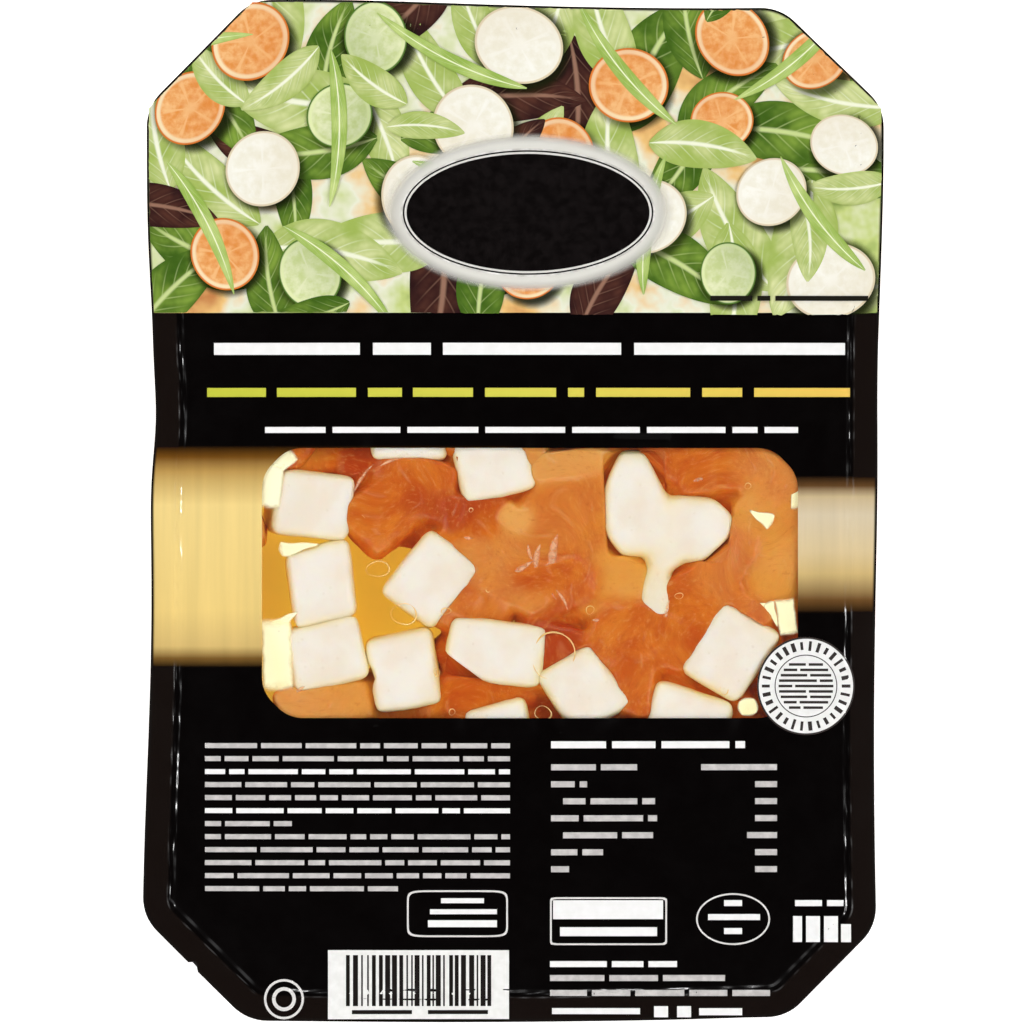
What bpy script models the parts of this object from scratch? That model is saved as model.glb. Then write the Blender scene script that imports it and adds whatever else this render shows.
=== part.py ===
"""Vacuum pack of smoked salmon and white cheese cubes in oil.

A clear formed tray with a flat sealing flange, a clear sealing film over it, a
printed outer ply with a window, and inside a heap of salmon pieces with loose
cheese cubes standing in it. Metres, +Z up, X across the pack, Y along it towards
the top of the print. The origin is under the middle of the tray, on its underside.
"""

import math
import random

import bmesh
import bpy
from mathutils import Vector

MM = 0.001

# Outline of the flange, with one cut corner at each end of each side
PACK_WIDTH = 122.6 * MM
PACK_LENGTH = 169.6 * MM
CUT_TOP_RIGHT = 17.0 * MM
CUT_TOP_LEFT = 17.5 * MM
CUT_BOTTOM_LEFT = 17.2 * MM
CUT_BOTTOM_RIGHT = 15.5 * MM
CORNER_RADIUS = 8.0 * MM
LEAST_RADIUS = 2.5 * MM
ARC_STEPS = 4

# Brings the uneven outline back over the origin
CENTRE_SHIFT = 0.165 * MM

# Tear notch in the lower left cut corner, as a share of the cut's length
NOTCH_SHARE = 0.45
NOTCH_DEPTH = 1.4 * MM
NOTCH_HALF_WIDTH = 0.9 * MM

# Heights of the tray and of the sheets that close it
FLANGE_TOP = 9.6 * MM
FLANGE_WIDTH = 3.7 * MM
WALL = 0.6 * MM
SHEET = 0.3 * MM
GAP = 0.3 * MM
GROOVE_INSET = 4.6 * MM
GROOVE_WIDTH = 0.8 * MM
GROOVE_DEPTH = 0.45 * MM
CROWN = 0.8 * MM
FLANGE_WAVE = 0.35 * MM

# Inner and outer face of the tray's wall, then the salmon's core and its outer
# limit: millimetres in from the flange's inner edge, and height in millimetres
WALL_INSIDE = ((0.4, 9.35), (1.8, 3.0), (2.6, 1.2), (4.7, 0.6))
WALL_OUTSIDE = ((-0.5, 9.0), (-0.2, 8.7), (1.2, 2.8), (2.1, 0.8), (4.7, 0.0))
SALMON_CORE = ((4.9, 0.95), (3.0, 1.7), (2.3, 3.2), (2.0, 5.4), (3.5, 6.6))
SALMON_LIMIT = ((4.8, 0.95), (2.95, 1.6), (2.15, 3.1), (1.0, 8.6), (2.7, 9.5))

# Clear window in the printed ply
WINDOW_X = 2.75 * MM
WINDOW_Y = -12.0 * MM
WINDOW_WIDTH = 89.3 * MM
WINDOW_LENGTH = 45.0 * MM
WINDOW_RADIUS = 5.8 * MM
WINDOW_CUT = 4.4 * MM

# Contents
FLOOR_GAP = 0.35 * MM
SIDE_GAP = 8.4 * MM
CUBE_BEVEL = 0.9 * MM
CUBE_GAP = 0.35 * MM
CUBE_SIZE = 10.6 * MM
CUBE_UNEVENNESS = 0.05
CUBE_TOP_GAPS = (0.35 * MM, 0.75 * MM)
SALMON_SEED = 35
SALMON_PIECES = 58
SALMON_PIECE = (14.5 * MM, 11.0 * MM, 7.0 * MM)
SALMON_STRETCH = (0.8, 1.15)
SALMON_BEVEL = 1.9 * MM
SALMON_HEIGHTS = (5.4 * MM, 6.4 * MM)
SALMON_TILT = 0.22
SALMON_PITCH = 9.6 * MM
SALMON_CUBE_PITCH = 7.0 * MM
SALMON_WALL_GAP = 2.0 * MM
WELD = 0.0005 * MM

# Cheese cubes behind the window: centre x, centre y, turn, width, depth, lean to +X
WINDOW_CUBES = (
    (-33.6, 1.5, -7, 11.8, 10.2, 2.6),
    (-31.8, -12.1, 10, 10.8, 10.8, 0.6),
    (-31.9, -24.2, 13, 11.6, 10.0, 2.2),
    (-13.5, -10.8, -38, 10.0, 12.2, 0.0),
    (-18.0, -26.7, 10, 10.6, 11.6, 0.0),
    (-2.9, -23.9, -8, 12.6, 10.4, -0.6),
    (-2.8, 8.0, 14, 11.0, 11.0, 0.3),
    (-17.4, 13.4, 0, 12.2, 10.4, 0.0),
    (-0.6, -38.2, 12, 11.4, 10.4, 0.0),
    (20.0, 1.3, 3, 10.2, 15.0, 0.0),
    (31.7, -3.2, -5, 9.9, 11.0, 0.3),
    (12.0, -29.9, 33, 10.2, 11.8, 0.0),
    (37.2, -24.0, -32, 9.6, 11.6, 0.0),
    (27.8, -37.4, -15, 11.8, 11.0, 0.0),
)

# Cheese cubes behind the print, drawn at random on a loose grid
HIDDEN_SEED = 7
HIDDEN_CUBES = 28
HIDDEN_COLUMNS = range(-3, 4)
HIDDEN_ROWS = range(-5, 6)
HIDDEN_SPREAD = (0.93, 1.1)
HIDDEN_TURN = 0.7
HIDDEN_GRID_X = 15.2 * MM
HIDDEN_GRID_Y = 14.6 * MM
HIDDEN_JITTER = 1.5 * MM
CUBE_CLEARANCE = 14.6 * MM
WINDOW_MARGIN = 0.55 * CUBE_SIZE


def clear_scene():
    """Removes every object that the scene starts with."""
    for obj in list(bpy.data.objects):
        bpy.data.objects.remove(obj, do_unlink=True)


def principled(name, colour, roughness, alpha=1.0):
    """A material with the plain finish of one sub-part."""
    material = bpy.data.materials.new(name)
    material.use_nodes = True
    shader = material.node_tree.nodes["Principled BSDF"]
    shader.inputs["Base Color"].default_value = (*colour, 1.0)
    shader.inputs["Roughness"].default_value = roughness
    shader.inputs["Alpha"].default_value = alpha
    material.diffuse_color = (*colour, alpha)
    return material


def add_object(name, mesh_builder, material, location=(0, 0, 0), turn=0.0):
    """Turns a bmesh into an object with its material, its place and its turn."""
    bmesh.ops.recalc_face_normals(mesh_builder, faces=mesh_builder.faces)
    mesh = bpy.data.meshes.new(name)
    mesh_builder.to_mesh(mesh)
    mesh_builder.free()
    obj = bpy.data.objects.new(name, mesh)
    bpy.context.scene.collection.objects.link(obj)
    obj.location = location
    obj.rotation_euler = (0, 0, turn)
    if material:
        mesh.materials.append(material)
    return obj


def cut_rectangle(half_x, half_y, cuts, radius, inset, side_points):
    """Points anticlockwise round a rectangle with cut, rounded corners.

    cuts are the cut-off lengths of the corners top right, top left, bottom left
    and bottom right. side_points is how many points each long side, end and cut
    has between its rounded ends, so that rings of one pattern can be bridged.
    """
    half = math.sqrt(0.5)
    normals = []
    distances = []
    for quarter, cut in enumerate(cuts):
        angle = quarter * math.pi / 2
        reach = half_x if quarter % 2 == 0 else half_y
        normals += [angle, angle + math.pi / 4]
        distances += [reach, (half_x + half_y - cut) * half]
    bend = max(radius - inset, LEAST_RADIUS)
    centres = []
    for i in range(8):
        first = distances[i] - inset - bend
        second = distances[(i + 1) % 8] - inset - bend
        centres.append(line_crossing(normals[i], first, normals[(i + 1) % 8], second))
    points = []
    for i in range(8):
        arc = [normals[i] + step * math.pi / 4 / ARC_STEPS for step in range(ARC_STEPS + 1)]
        points += [centres[i] + bend * Vector((math.cos(a), math.sin(a))) for a in arc]
        following = (i + 1) % 8
        start = points[-1]
        out = Vector((math.cos(normals[following]), math.sin(normals[following])))
        end = centres[following] + bend * out
        for share in side_points[following]:
            points.append(start.lerp(end, share))
    return points


def line_crossing(angle_a, reach_a, angle_b, reach_b):
    """Where the lines with these outward directions and distances cross."""
    det = math.sin(angle_b - angle_a)
    x = (reach_a * math.sin(angle_b) - reach_b * math.sin(angle_a)) / det
    y = (reach_b * math.cos(angle_a) - reach_a * math.cos(angle_b)) / det
    return Vector((x, y))


def even_shares(count):
    return [(i + 1) / (count + 1) for i in range(count)]


def notch_shares():
    """Three places close together on the lower left cut corner."""
    half_width = NOTCH_HALF_WIDTH / (CUT_BOTTOM_LEFT * math.sqrt(2))
    return [NOTCH_SHARE - half_width, NOTCH_SHARE, NOTCH_SHARE + half_width]


# Points between the arcs: right side, cut, top, cut, left side, cut, bottom, cut
SIDE_POINTS = (
    even_shares(5),
    even_shares(1),
    even_shares(4),
    even_shares(1),
    even_shares(5),
    notch_shares(),
    even_shares(4),
    even_shares(1),
)
CUTS = (CUT_TOP_RIGHT, CUT_TOP_LEFT, CUT_BOTTOM_LEFT, CUT_BOTTOM_RIGHT)


def swell(value, centre, width):
    return math.exp(-(((value - centre) / width) ** 2))


def settle(point):
    """The flange isn't quite straight: slight waists and flares of its edges."""
    x, y = point / MM
    left = -0.9 * swell(y, 15, 9) - 0.8 * swell(y, -15, 30) + 0.7 * swell(y, -72, 30)
    left -= 0.85 * swell(y, 29, 14)
    right = -0.5 * swell(y, -10, 40) - 1.1 * swell(y, -50, 45) + 0.3 * swell(y, 62, 16)
    right -= 0.45 * swell(y, 24, 16)
    top = 0.5 * swell(x, -32, 22) - 1.0 * swell(x, 32, 40)
    bottom = 0.4 * swell(x, -10, 30) - 0.5 * swell(x, 45, 16)
    across = right * max(x, 0) / 61 - left * max(-x, 0) / 61
    along = top * max(y, 0) / 85 - bottom * max(-y, 0) / 85
    return Vector((x + across, y + along)) * MM + Vector((CENTRE_SHIFT, 0))


def pack_ring(inset, notched=False):
    """The pack's outline, moved in by inset."""
    ring = cut_rectangle(
        PACK_WIDTH / 2, PACK_LENGTH / 2, CUTS, CORNER_RADIUS, inset, SIDE_POINTS
    )
    if notched:
        tip = notch_index()
        ring[tip] += Vector((1, 1)) * math.sqrt(0.5) * NOTCH_DEPTH
    return [settle(point) for point in ring]


def notch_index():
    """Where the notch's tip is in a ring's list of points."""
    arcs_before = 5 * (ARC_STEPS + 1)
    points_before = sum(len(SIDE_POINTS[side]) for side in (1, 2, 3, 4))
    return arcs_before + points_before + 1


def window_ring(scale=1.0):
    """The window's outline in the same pattern of points, drawn in by scale."""
    ring = cut_rectangle(
        WINDOW_WIDTH / 2, WINDOW_LENGTH / 2, [WINDOW_CUT] * 4, WINDOW_RADIUS, 0, SIDE_POINTS
    )
    middle = Vector((WINDOW_X, WINDOW_Y))
    return [middle + point * scale for point in ring]


def blend_rings(outer, inner, share):
    return [a.lerp(b, share) for a, b in zip(outer, inner)]


def flange_wave(x, y, inset):
    """Slow ripple of the free flange, which dies out at the tray's wall."""
    free = max(0.0, 1.0 - inset / FLANGE_WIDTH)
    ripple = math.sin(y / (17 * MM) + 0.6) + math.sin(x / (13 * MM) - 1.1)
    return 0.5 * FLANGE_WAVE * free * ripple


def crown(x, y):
    """The lid swells a little over the contents."""
    across = max(0.0, 1.0 - (x / (54 * MM)) ** 2)
    along = max(0.0, 1.0 - (y / (78 * MM)) ** 2)
    return CROWN * across**0.8 * along**0.8


def lid_height(x, y, inset):
    """Underside of the sealing film above the table."""
    groove = GROOVE_DEPTH * max(0.0, 1.0 - abs(inset - GROOVE_INSET) / GROOVE_WIDTH)
    swollen = crown(x, y) if inset > GROOVE_INSET else 0.0
    return FLANGE_TOP + GAP + flange_wave(x, y, inset) + swollen - groove


def ring_vertices(bm, ring, heights):
    return [bm.verts.new((p.x, p.y, z)) for p, z in zip(ring, heights)]


def bridge(bm, first, second):
    """Quads between two rings of the same number of points."""
    count = len(first)
    for i in range(count):
        j = (i + 1) % count
        bm.faces.new((first[i], first[j], second[j], second[i]))


def sheet_mesh(rings, lift, closed_middle):
    """A thin sheet over the lid's height, from rings given as (ring, inset)."""
    bm = bmesh.new()
    layers = []
    for rise in (lift, lift + SHEET):
        layer = []
        for ring, inset in rings:
            heights = [lid_height(p.x, p.y, inset) + rise for p in ring]
            layer.append(ring_vertices(bm, ring, heights))
        for outer, inner in zip(layer, layer[1:]):
            bridge(bm, outer, inner)
        if closed_middle:
            bm.faces.new(layer[-1])
        layers.append(layer)
    bridge(bm, layers[0][0], layers[1][0])
    if not closed_middle:
        bridge(bm, layers[0][-1], layers[1][-1])
    return bm


def lid_rings():
    """Rings of the lid from the flange's edge to the window's edge."""
    window = window_ring()
    cavity = pack_ring(GROOVE_INSET + GROOVE_WIDTH)
    rings = [
        (pack_ring(0, notched=True), 0),
        (pack_ring(FLANGE_WIDTH), FLANGE_WIDTH),
        (pack_ring(GROOVE_INSET), GROOVE_INSET),
        (cavity, GROOVE_INSET + GROOVE_WIDTH),
    ]
    for share in (0.45, 1.0):
        rings.append((blend_rings(cavity, window, share), 1.0))
    return rings


def from_flange(profile):
    """A profile's insets and heights in metres, counted from the outline and the table."""
    return [(FLANGE_WIDTH + past * MM, height * MM) for past, height in profile]


def make_tray(material):
    """Formed tray: flange, drafted wall, rounded foot and flat floor."""
    upper = [(0.0, FLANGE_TOP), (FLANGE_WIDTH, FLANGE_TOP)] + from_flange(WALL_INSIDE)
    lower = [(0.0, FLANGE_TOP - WALL)] + from_flange(WALL_OUTSIDE)
    bm = bmesh.new()
    edges = []
    for profile in (upper, lower):
        rings = []
        for inset, height in profile:
            ring = pack_ring(inset, notched=inset == 0)
            heights = [height + flange_wave(p.x, p.y, inset) for p in ring]
            rings.append(ring_vertices(bm, ring, heights))
        for outer, inner in zip(rings, rings[1:]):
            bridge(bm, outer, inner)
        bm.faces.new(rings[-1])
        edges.append(rings[0])
    bridge(bm, *edges)
    return add_object("tray", bm, material)


def make_sealing_film(material):
    """Clear film over the whole tray."""
    rings = lid_rings()
    for scale in (0.7, 0.35):
        rings.append((window_ring(scale), 1.0))
    return add_object("sealing_film", sheet_mesh(rings, 0.0, True), material)


def make_printed_ply(material):
    """Printed outer ply of the lid, open at the window."""
    return add_object("printed_ply", sheet_mesh(lid_rings(), SHEET + GAP, False), material)


def block_mesh(width, depth, bottom, top, lean, seed, bevel):
    """A slightly uneven bevelled block standing from bottom to top."""
    rng = random.Random(seed)
    bm = bmesh.new()
    bmesh.ops.create_cube(bm, size=1.0)
    middle = (WALL + FLANGE_TOP) / 2
    for vert in bm.verts:
        squeeze = 1.0 + rng.uniform(-CUBE_UNEVENNESS, CUBE_UNEVENNESS)
        vert.co.x *= width * squeeze
        vert.co.y *= depth * squeeze
        vert.co.z = top if vert.co.z > 0 else bottom
        vert.co.x += lean * (vert.co.z - middle) / (FLANGE_TOP - WALL)
    if bevel:
        bmesh.ops.bevel(
            bm, geom=list(bm.edges), offset=bevel, segments=1, affect="EDGES", profile=0.5
        )
    return bm


def cheese_specs():
    """Every cheese cube as centre, turn, width, depth, lean and seed."""
    specs = []
    for seed, row in enumerate(WINDOW_CUBES):
        x, y, turn, width, depth, lean = row
        place = Vector((x, y)) * MM
        specs.append((place, math.radians(turn), width * MM, depth * MM, lean * MM, seed))
    rng = random.Random(HIDDEN_SEED)
    places = []
    for column in HIDDEN_COLUMNS:
        for row in HIDDEN_ROWS:
            shift = HIDDEN_GRID_Y / 2 if column % 2 else 0
            x = column * HIDDEN_GRID_X + rng.uniform(-1, 1) * HIDDEN_JITTER
            y = row * HIDDEN_GRID_Y + shift + rng.uniform(-1, 1) * HIDDEN_JITTER
            places.append(Vector((x, y)))
    rng.shuffle(places)
    for place in places:
        size = CUBE_SIZE * rng.uniform(*HIDDEN_SPREAD)
        depth = CUBE_SIZE * rng.uniform(*HIDDEN_SPREAD)
        turn = rng.uniform(-HIDDEN_TURN, HIDDEN_TURN)
        seed = len(specs)
        if seed == len(WINDOW_CUBES) + HIDDEN_CUBES:
            break
        if not inside_tray(place, 0.5 * math.hypot(size, depth)):
            continue
        if behind_window(place):
            continue
        if all((place - other[0]).length > CUBE_CLEARANCE for other in specs):
            specs.append((place, turn, size, depth, 0.0, seed))
    return specs


def behind_window(place):
    """True where a cube would show in the window."""
    past_side = abs(place.x - WINDOW_X) - WINDOW_WIDTH / 2
    past_end = abs(place.y - WINDOW_Y) - WINDOW_LENGTH / 2
    return max(past_side, past_end) < WINDOW_MARGIN


def inside_tray(place, reach):
    """True if a piece of this reach stands clear of the tray's wall."""
    half_x = PACK_WIDTH / 2 - SIDE_GAP - reach
    half_y = PACK_LENGTH / 2 - SIDE_GAP - reach
    corner = half_x + half_y - CUT_TOP_LEFT + (2 - math.sqrt(2)) * reach
    x, y = abs(place.x), abs(place.y)
    return x < half_x and y < half_y and x + y < corner


def make_cheese(specs, material):
    for number, spec in enumerate(specs, 1):
        place, turn, width, depth, lean, seed = spec
        rng = random.Random(100 + seed)
        top = FLANGE_TOP + GAP + crown(place.x, place.y) - rng.uniform(*CUBE_TOP_GAPS)
        bottom = WALL + FLOOR_GAP
        bm = block_mesh(width, depth, bottom, top, lean, seed, CUBE_BEVEL)
        add_object(f"cheese_{number:02d}", bm, material, (*place, 0), turn)


def boolean(target, operand, operation):
    """Applies one Boolean and removes what it used. operand is a collection or object."""
    modifier = target.modifiers.new("join", "BOOLEAN")
    modifier.operation = operation
    modifier.solver = "MANIFOLD"
    if isinstance(operand, bpy.types.Collection):
        modifier.operand_type = "COLLECTION"
        modifier.collection = operand
        used = list(operand.objects)
    else:
        modifier.object = operand
        used = [operand]
    graph = bpy.context.evaluated_depsgraph_get()
    result = bpy.data.meshes.new_from_object(target.evaluated_get(graph))
    target.modifiers.clear()
    target.data = result
    for obj in used:
        bpy.data.objects.remove(obj, do_unlink=True)
    if isinstance(operand, bpy.types.Collection):
        bpy.data.collections.remove(operand)


def into_collection(name, objects):
    collection = bpy.data.collections.new(name)
    bpy.context.scene.collection.children.link(collection)
    for obj in objects:
        bpy.context.scene.collection.objects.unlink(obj)
        collection.objects.link(obj)
    return collection


def stacked_rings(profile):
    """A closed body from outline rings given as (inset, height), bottom first."""
    bm = bmesh.new()
    rings = []
    for inset, height in profile:
        ring = pack_ring(inset)
        rings.append(ring_vertices(bm, ring, [height] * len(ring)))
    for lower, upper in zip(rings, rings[1:]):
        bridge(bm, lower, upper)
    bm.faces.new(rings[0])
    bm.faces.new(rings[-1])
    return bm


def salmon_piece(seed):
    """One torn chunk of salmon, a bevelled block with uneven corners."""
    rng = random.Random(500 + seed)
    bm = bmesh.new()
    bmesh.ops.create_cube(bm, size=1.0)
    for vert in bm.verts:
        stretch = [size * rng.uniform(*SALMON_STRETCH) for size in SALMON_PIECE]
        vert.co = Vector([c * s for c, s in zip(vert.co, stretch)])
    bmesh.ops.bevel(
        bm, geom=list(bm.edges), offset=SALMON_BEVEL, segments=1, affect="EDGES", profile=0.5
    )
    return add_object(f"salmon_piece_{seed}", bm, None)


def make_salmon(specs, material):
    """Heap of salmon: a low core with chunks fused on, cut round the cubes."""
    heap = add_object("salmon_heap", stacked_rings(from_flange(SALMON_CORE)), material)
    rng = random.Random(SALMON_SEED)
    pieces = []
    places = []
    while len(pieces) < SALMON_PIECES:
        x = rng.uniform(-0.5, 0.5) * PACK_WIDTH
        y = rng.uniform(-0.5, 0.5) * PACK_LENGTH
        place = Vector((x, y))
        if not inside_tray(place, SALMON_WALL_GAP):
            continue
        if any((place - spec[0]).length < SALMON_CUBE_PITCH for spec in specs):
            continue
        if any((place - other).length < SALMON_PITCH for other in places):
            continue
        places.append(place)
        piece = salmon_piece(len(pieces))
        piece.location = (x, y, rng.uniform(*SALMON_HEIGHTS))
        tilt = [rng.uniform(-SALMON_TILT, SALMON_TILT) for _ in "xy"]
        piece.rotation_euler = (*tilt, rng.uniform(0, math.pi))
        pieces.append(piece)
    bpy.context.view_layer.update()
    boolean(heap, into_collection("salmon_pieces", pieces), "UNION")
    envelope = add_object("envelope", stacked_rings(from_flange(SALMON_LIMIT)), None)
    bpy.context.view_layer.update()
    boolean(heap, envelope, "INTERSECT")
    pockets = []
    for number, spec in enumerate(specs):
        place, turn, width, depth, lean, seed = spec
        grow = 2 * CUBE_GAP
        below = -2 * MM
        above = FLANGE_TOP + 4 * MM
        bm = block_mesh(width + grow, depth + grow, below, above, lean, seed, 0)
        pockets.append(add_object(f"pocket_{number}", bm, None, (*place, 0), turn))
    bpy.context.view_layer.update()
    boolean(heap, into_collection("pockets", pockets), "DIFFERENCE")
    keep_largest_body(heap.data)
    return heap


def keep_largest_body(mesh):
    """Drops loose scraps and welds and tidies what is left."""
    bm = bmesh.new()
    bm.from_mesh(mesh)
    bmesh.ops.remove_doubles(bm, verts=bm.verts, dist=WELD)
    wires = [edge for edge in bm.edges if not edge.link_faces]
    bmesh.ops.delete(bm, geom=wires, context="EDGES")
    unseen = set(bm.verts)
    bodies = []
    while unseen:
        start = unseen.pop()
        body = {start}
        front = [start]
        while front:
            for edge in front.pop().link_edges:
                for vert in edge.verts:
                    if vert in unseen:
                        unseen.discard(vert)
                        body.add(vert)
                        front.append(vert)
        bodies.append(body)
    bodies.sort(key=len)
    for body in bodies[:-1]:
        bmesh.ops.delete(bm, geom=list(body), context="VERTS")
    bmesh.ops.triangulate(bm, faces=bm.faces)
    bm.to_mesh(mesh)
    bm.free()


def main():
    clear_scene()
    clear_plastic = principled("clear tray plastic", (0.86, 0.87, 0.86), 0.12, 0.35)
    clear_film = principled("clear sealing film", (0.93, 0.94, 0.94), 0.1, 0.2)
    print_black = principled("black printed film", (0.006, 0.004, 0.004), 0.35)
    salmon = principled("smoked salmon", (0.63, 0.18, 0.05), 0.4)
    cheese = principled("white cheese", (0.9, 0.84, 0.74), 0.45)
    specs = cheese_specs()
    make_tray(clear_plastic)
    make_sealing_film(clear_film)
    make_printed_ply(print_black)
    make_cheese(specs, cheese)
    make_salmon(specs, salmon)


main()
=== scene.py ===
"""Looks of a sealed pack of smoked salmon and white cheese cubes in oil."""

import math
import random

import bmesh
import bpy
import numpy as np
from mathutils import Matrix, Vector, noise
from mathutils.bvhtree import BVHTree
from mathutils.kdtree import KDTree


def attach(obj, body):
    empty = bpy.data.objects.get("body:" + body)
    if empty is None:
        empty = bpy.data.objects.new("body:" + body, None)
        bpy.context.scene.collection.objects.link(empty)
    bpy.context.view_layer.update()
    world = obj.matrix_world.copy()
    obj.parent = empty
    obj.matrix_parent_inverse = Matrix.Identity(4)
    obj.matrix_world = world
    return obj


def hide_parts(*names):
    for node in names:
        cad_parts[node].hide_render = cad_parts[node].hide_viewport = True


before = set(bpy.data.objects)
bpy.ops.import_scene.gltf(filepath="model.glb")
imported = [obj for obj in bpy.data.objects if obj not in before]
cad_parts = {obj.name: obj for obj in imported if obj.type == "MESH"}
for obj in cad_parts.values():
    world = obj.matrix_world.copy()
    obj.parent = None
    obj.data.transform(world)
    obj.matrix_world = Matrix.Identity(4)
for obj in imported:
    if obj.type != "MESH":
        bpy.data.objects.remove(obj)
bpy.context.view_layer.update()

MM = 0.001
PIXEL = MM / 6
MIDDLE_PX = (513.5, 511.0)

# Outline of the pack, as the CAD has it
PACK_WIDTH = 122.6 * MM
PACK_LENGTH = 169.6 * MM
CUTS = (17.0 * MM, 17.5 * MM, 17.2 * MM, 15.5 * MM)
CORNER_RADIUS = 8.0 * MM
LEAST_RADIUS = 2.5 * MM
CENTRE_SHIFT = 0.165 * MM
FLANGE_WIDTH = 3.7 * MM
FLANGE_TOP = 9.6 * MM
FLANGE_WAVE = 0.35 * MM
WALL = 0.6 * MM
CROWN = 0.8 * MM
GROOVE_INSET = 4.6 * MM
GROOVE_WIDTH = 0.75 * MM
GROOVE_DEPTH = 0.55 * MM

# Crease in the print over the groove: two short walls, steepest where it is deep
CREASE_OUTER = 4.0 * MM
CREASE_INNER = 5.1 * MM
CREASE_WALL = 0.36 * MM
CREASE_SHALLOW = 0.05 * MM
CREASE_DEEP = 0.17 * MM

NOTCH = (198, 964)
NOTCH_DEPTH = 1.4 * MM
NOTCH_HALF_WIDTH = 0.9 * MM

# Heights of the thin layers over the flange
FILM_LIFT = 0.12 * MM
FILM_THICK = 0.08 * MM
PRINT_LIFT = 0.26 * MM
PRINT_THICK = 0.1 * MM
INK_LIFT = 0.05 * MM
INK_THICK = 0.03 * MM

# Clear window in the print
WINDOW_PX = (262, 448, 798, 718)
WINDOW_RADIUS = 5.8 * MM
WINDOW_CUT = 4.4 * MM
ART_EDGE_PX = 313


def at(px, py):
    """The place on the pack, in metres, of a pixel of the photo."""
    return np.array([(px - MIDDLE_PX[0]) * PIXEL, (MIDDLE_PX[1] - py) * PIXEL])


WINDOW_LOW = at(WINDOW_PX[0], WINDOW_PX[3])
WINDOW_HIGH = at(WINDOW_PX[2], WINDOW_PX[1])
WINDOW_MIDDLE = (WINDOW_LOW + WINDOW_HIGH) / 2
WINDOW_HALF = (WINDOW_HIGH - WINDOW_LOW) / 2
ART_EDGE = at(0, ART_EDGE_PX)[1]


# Small tools

def deselect():
    """Leaves edit mode and selects nothing."""
    if bpy.context.mode != "OBJECT":
        bpy.ops.object.mode_set(mode="OBJECT")
    bpy.ops.object.select_all(action="DESELECT")


def pick(obj):
    deselect()
    obj.select_set(True)
    bpy.context.view_layer.objects.active = obj


def named(name):
    obj = bpy.context.object
    obj.name = name
    obj.data.name = name
    return obj


def points_of(obj):
    points = np.empty(len(obj.data.vertices) * 3)
    obj.data.vertices.foreach_get("co", points)
    return points.reshape(-1, 3)


def put_points(obj, points):
    obj.data.vertices.foreach_set("co", np.asarray(points, np.float32).ravel())
    obj.data.update()


def apply_modifier(obj, kind, **settings):
    pick(obj)
    modifier = obj.modifiers.new(kind.lower(), kind)
    for key, value in settings.items():
        setattr(modifier, key, value)
    bpy.ops.object.modifier_apply(modifier=modifier.name)


def subdivide(obj, levels):
    apply_modifier(obj, "SUBSURF", levels=levels, render_levels=levels)


def apply_place(obj):
    pick(obj)
    bpy.ops.object.transform_apply(location=True, rotation=True, scale=True)


def normals_out(obj, inside=False):
    pick(obj)
    bpy.ops.object.mode_set(mode="EDIT")
    bpy.ops.mesh.select_all(action="SELECT")
    bpy.ops.mesh.normals_make_consistent(inside=inside)
    bpy.ops.object.mode_set(mode="OBJECT")


def join(name, objects):
    deselect()
    for obj in objects:
        obj.select_set(True)
    bpy.context.view_layer.objects.active = objects[0]
    bpy.ops.object.join()
    return named(name)


def smooth(obj, degrees=None):
    pick(obj)
    if degrees is None:
        bpy.ops.object.shade_smooth()
    else:
        bpy.ops.object.shade_smooth_by_angle(angle=math.radians(degrees))


def dress(obj, material, replaces=()):
    """Gives a finished piece its material, its body and what it stands for."""
    obj.data.materials.clear()
    obj.data.materials.append(material)
    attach(obj, "root")
    if replaces:
        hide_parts(*replaces)
    return obj


# Form of the pack

def line_crossing(angle_a, reach_a, angle_b, reach_b):
    det = math.sin(angle_b - angle_a)
    x = (reach_a * math.sin(angle_b) - reach_b * math.sin(angle_a)) / det
    y = (reach_b * math.cos(angle_a) - reach_a * math.cos(angle_b)) / det
    return np.array([x, y])


def octagon_lines(half_x, half_y, cuts):
    """Outward angles and distances of the eight edges of a rectangle with cut corners."""
    angles = []
    distances = []
    for quarter, cut in enumerate(cuts):
        angle = quarter * math.pi / 2
        reach = half_x if quarter % 2 == 0 else half_y
        angles += [angle, angle + math.pi / 4]
        distances += [reach, (half_x + half_y - cut) * math.sqrt(0.5)]
    return angles, distances


def octagon_loop(lines, radius, inset, arc, counts):
    """Points round a rectangle with cut, rounded corners, moved in by inset."""
    angles, distances = lines
    bend = max(radius - inset, LEAST_RADIUS)
    centres = []
    for i in range(8):
        j = (i + 1) % 8
        reaches = (distances[i] - inset - bend, distances[j] - inset - bend)
        centres.append(line_crossing(angles[i], reaches[0], angles[j], reaches[1]))
    points = []
    for i in range(8):
        for step in range(arc + 1):
            a = angles[i] + step * math.pi / 4 / arc
            points.append(centres[i] + bend * np.array([math.cos(a), math.sin(a)]))
        j = (i + 1) % 8
        a = angles[j]
        start = points[-1]
        end = centres[j] + bend * np.array([math.cos(a), math.sin(a)])
        for share in range(1, counts[j] + 1):
            points.append(start + (end - start) * share / (counts[j] + 1))
    return np.array(points)


PACK_LINES = octagon_lines(PACK_WIDTH / 2, PACK_LENGTH / 2, CUTS)
WINDOW_LINES = octagon_lines(WINDOW_HALF[0], WINDOW_HALF[1], [WINDOW_CUT] * 4)


def side_counts(spacing):
    """How many points each edge of the outline takes at this spacing."""
    lengths = []
    for quarter in range(4):
        size = PACK_LENGTH if quarter % 2 == 0 else PACK_WIDTH
        trimmed = size - CUTS[quarter] - CUTS[quarter - 1] - 6 * MM
        lengths += [trimmed, CUTS[quarter] * math.sqrt(2) - 6 * MM]
    return [max(1, round(length / spacing)) for length in lengths]


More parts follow.
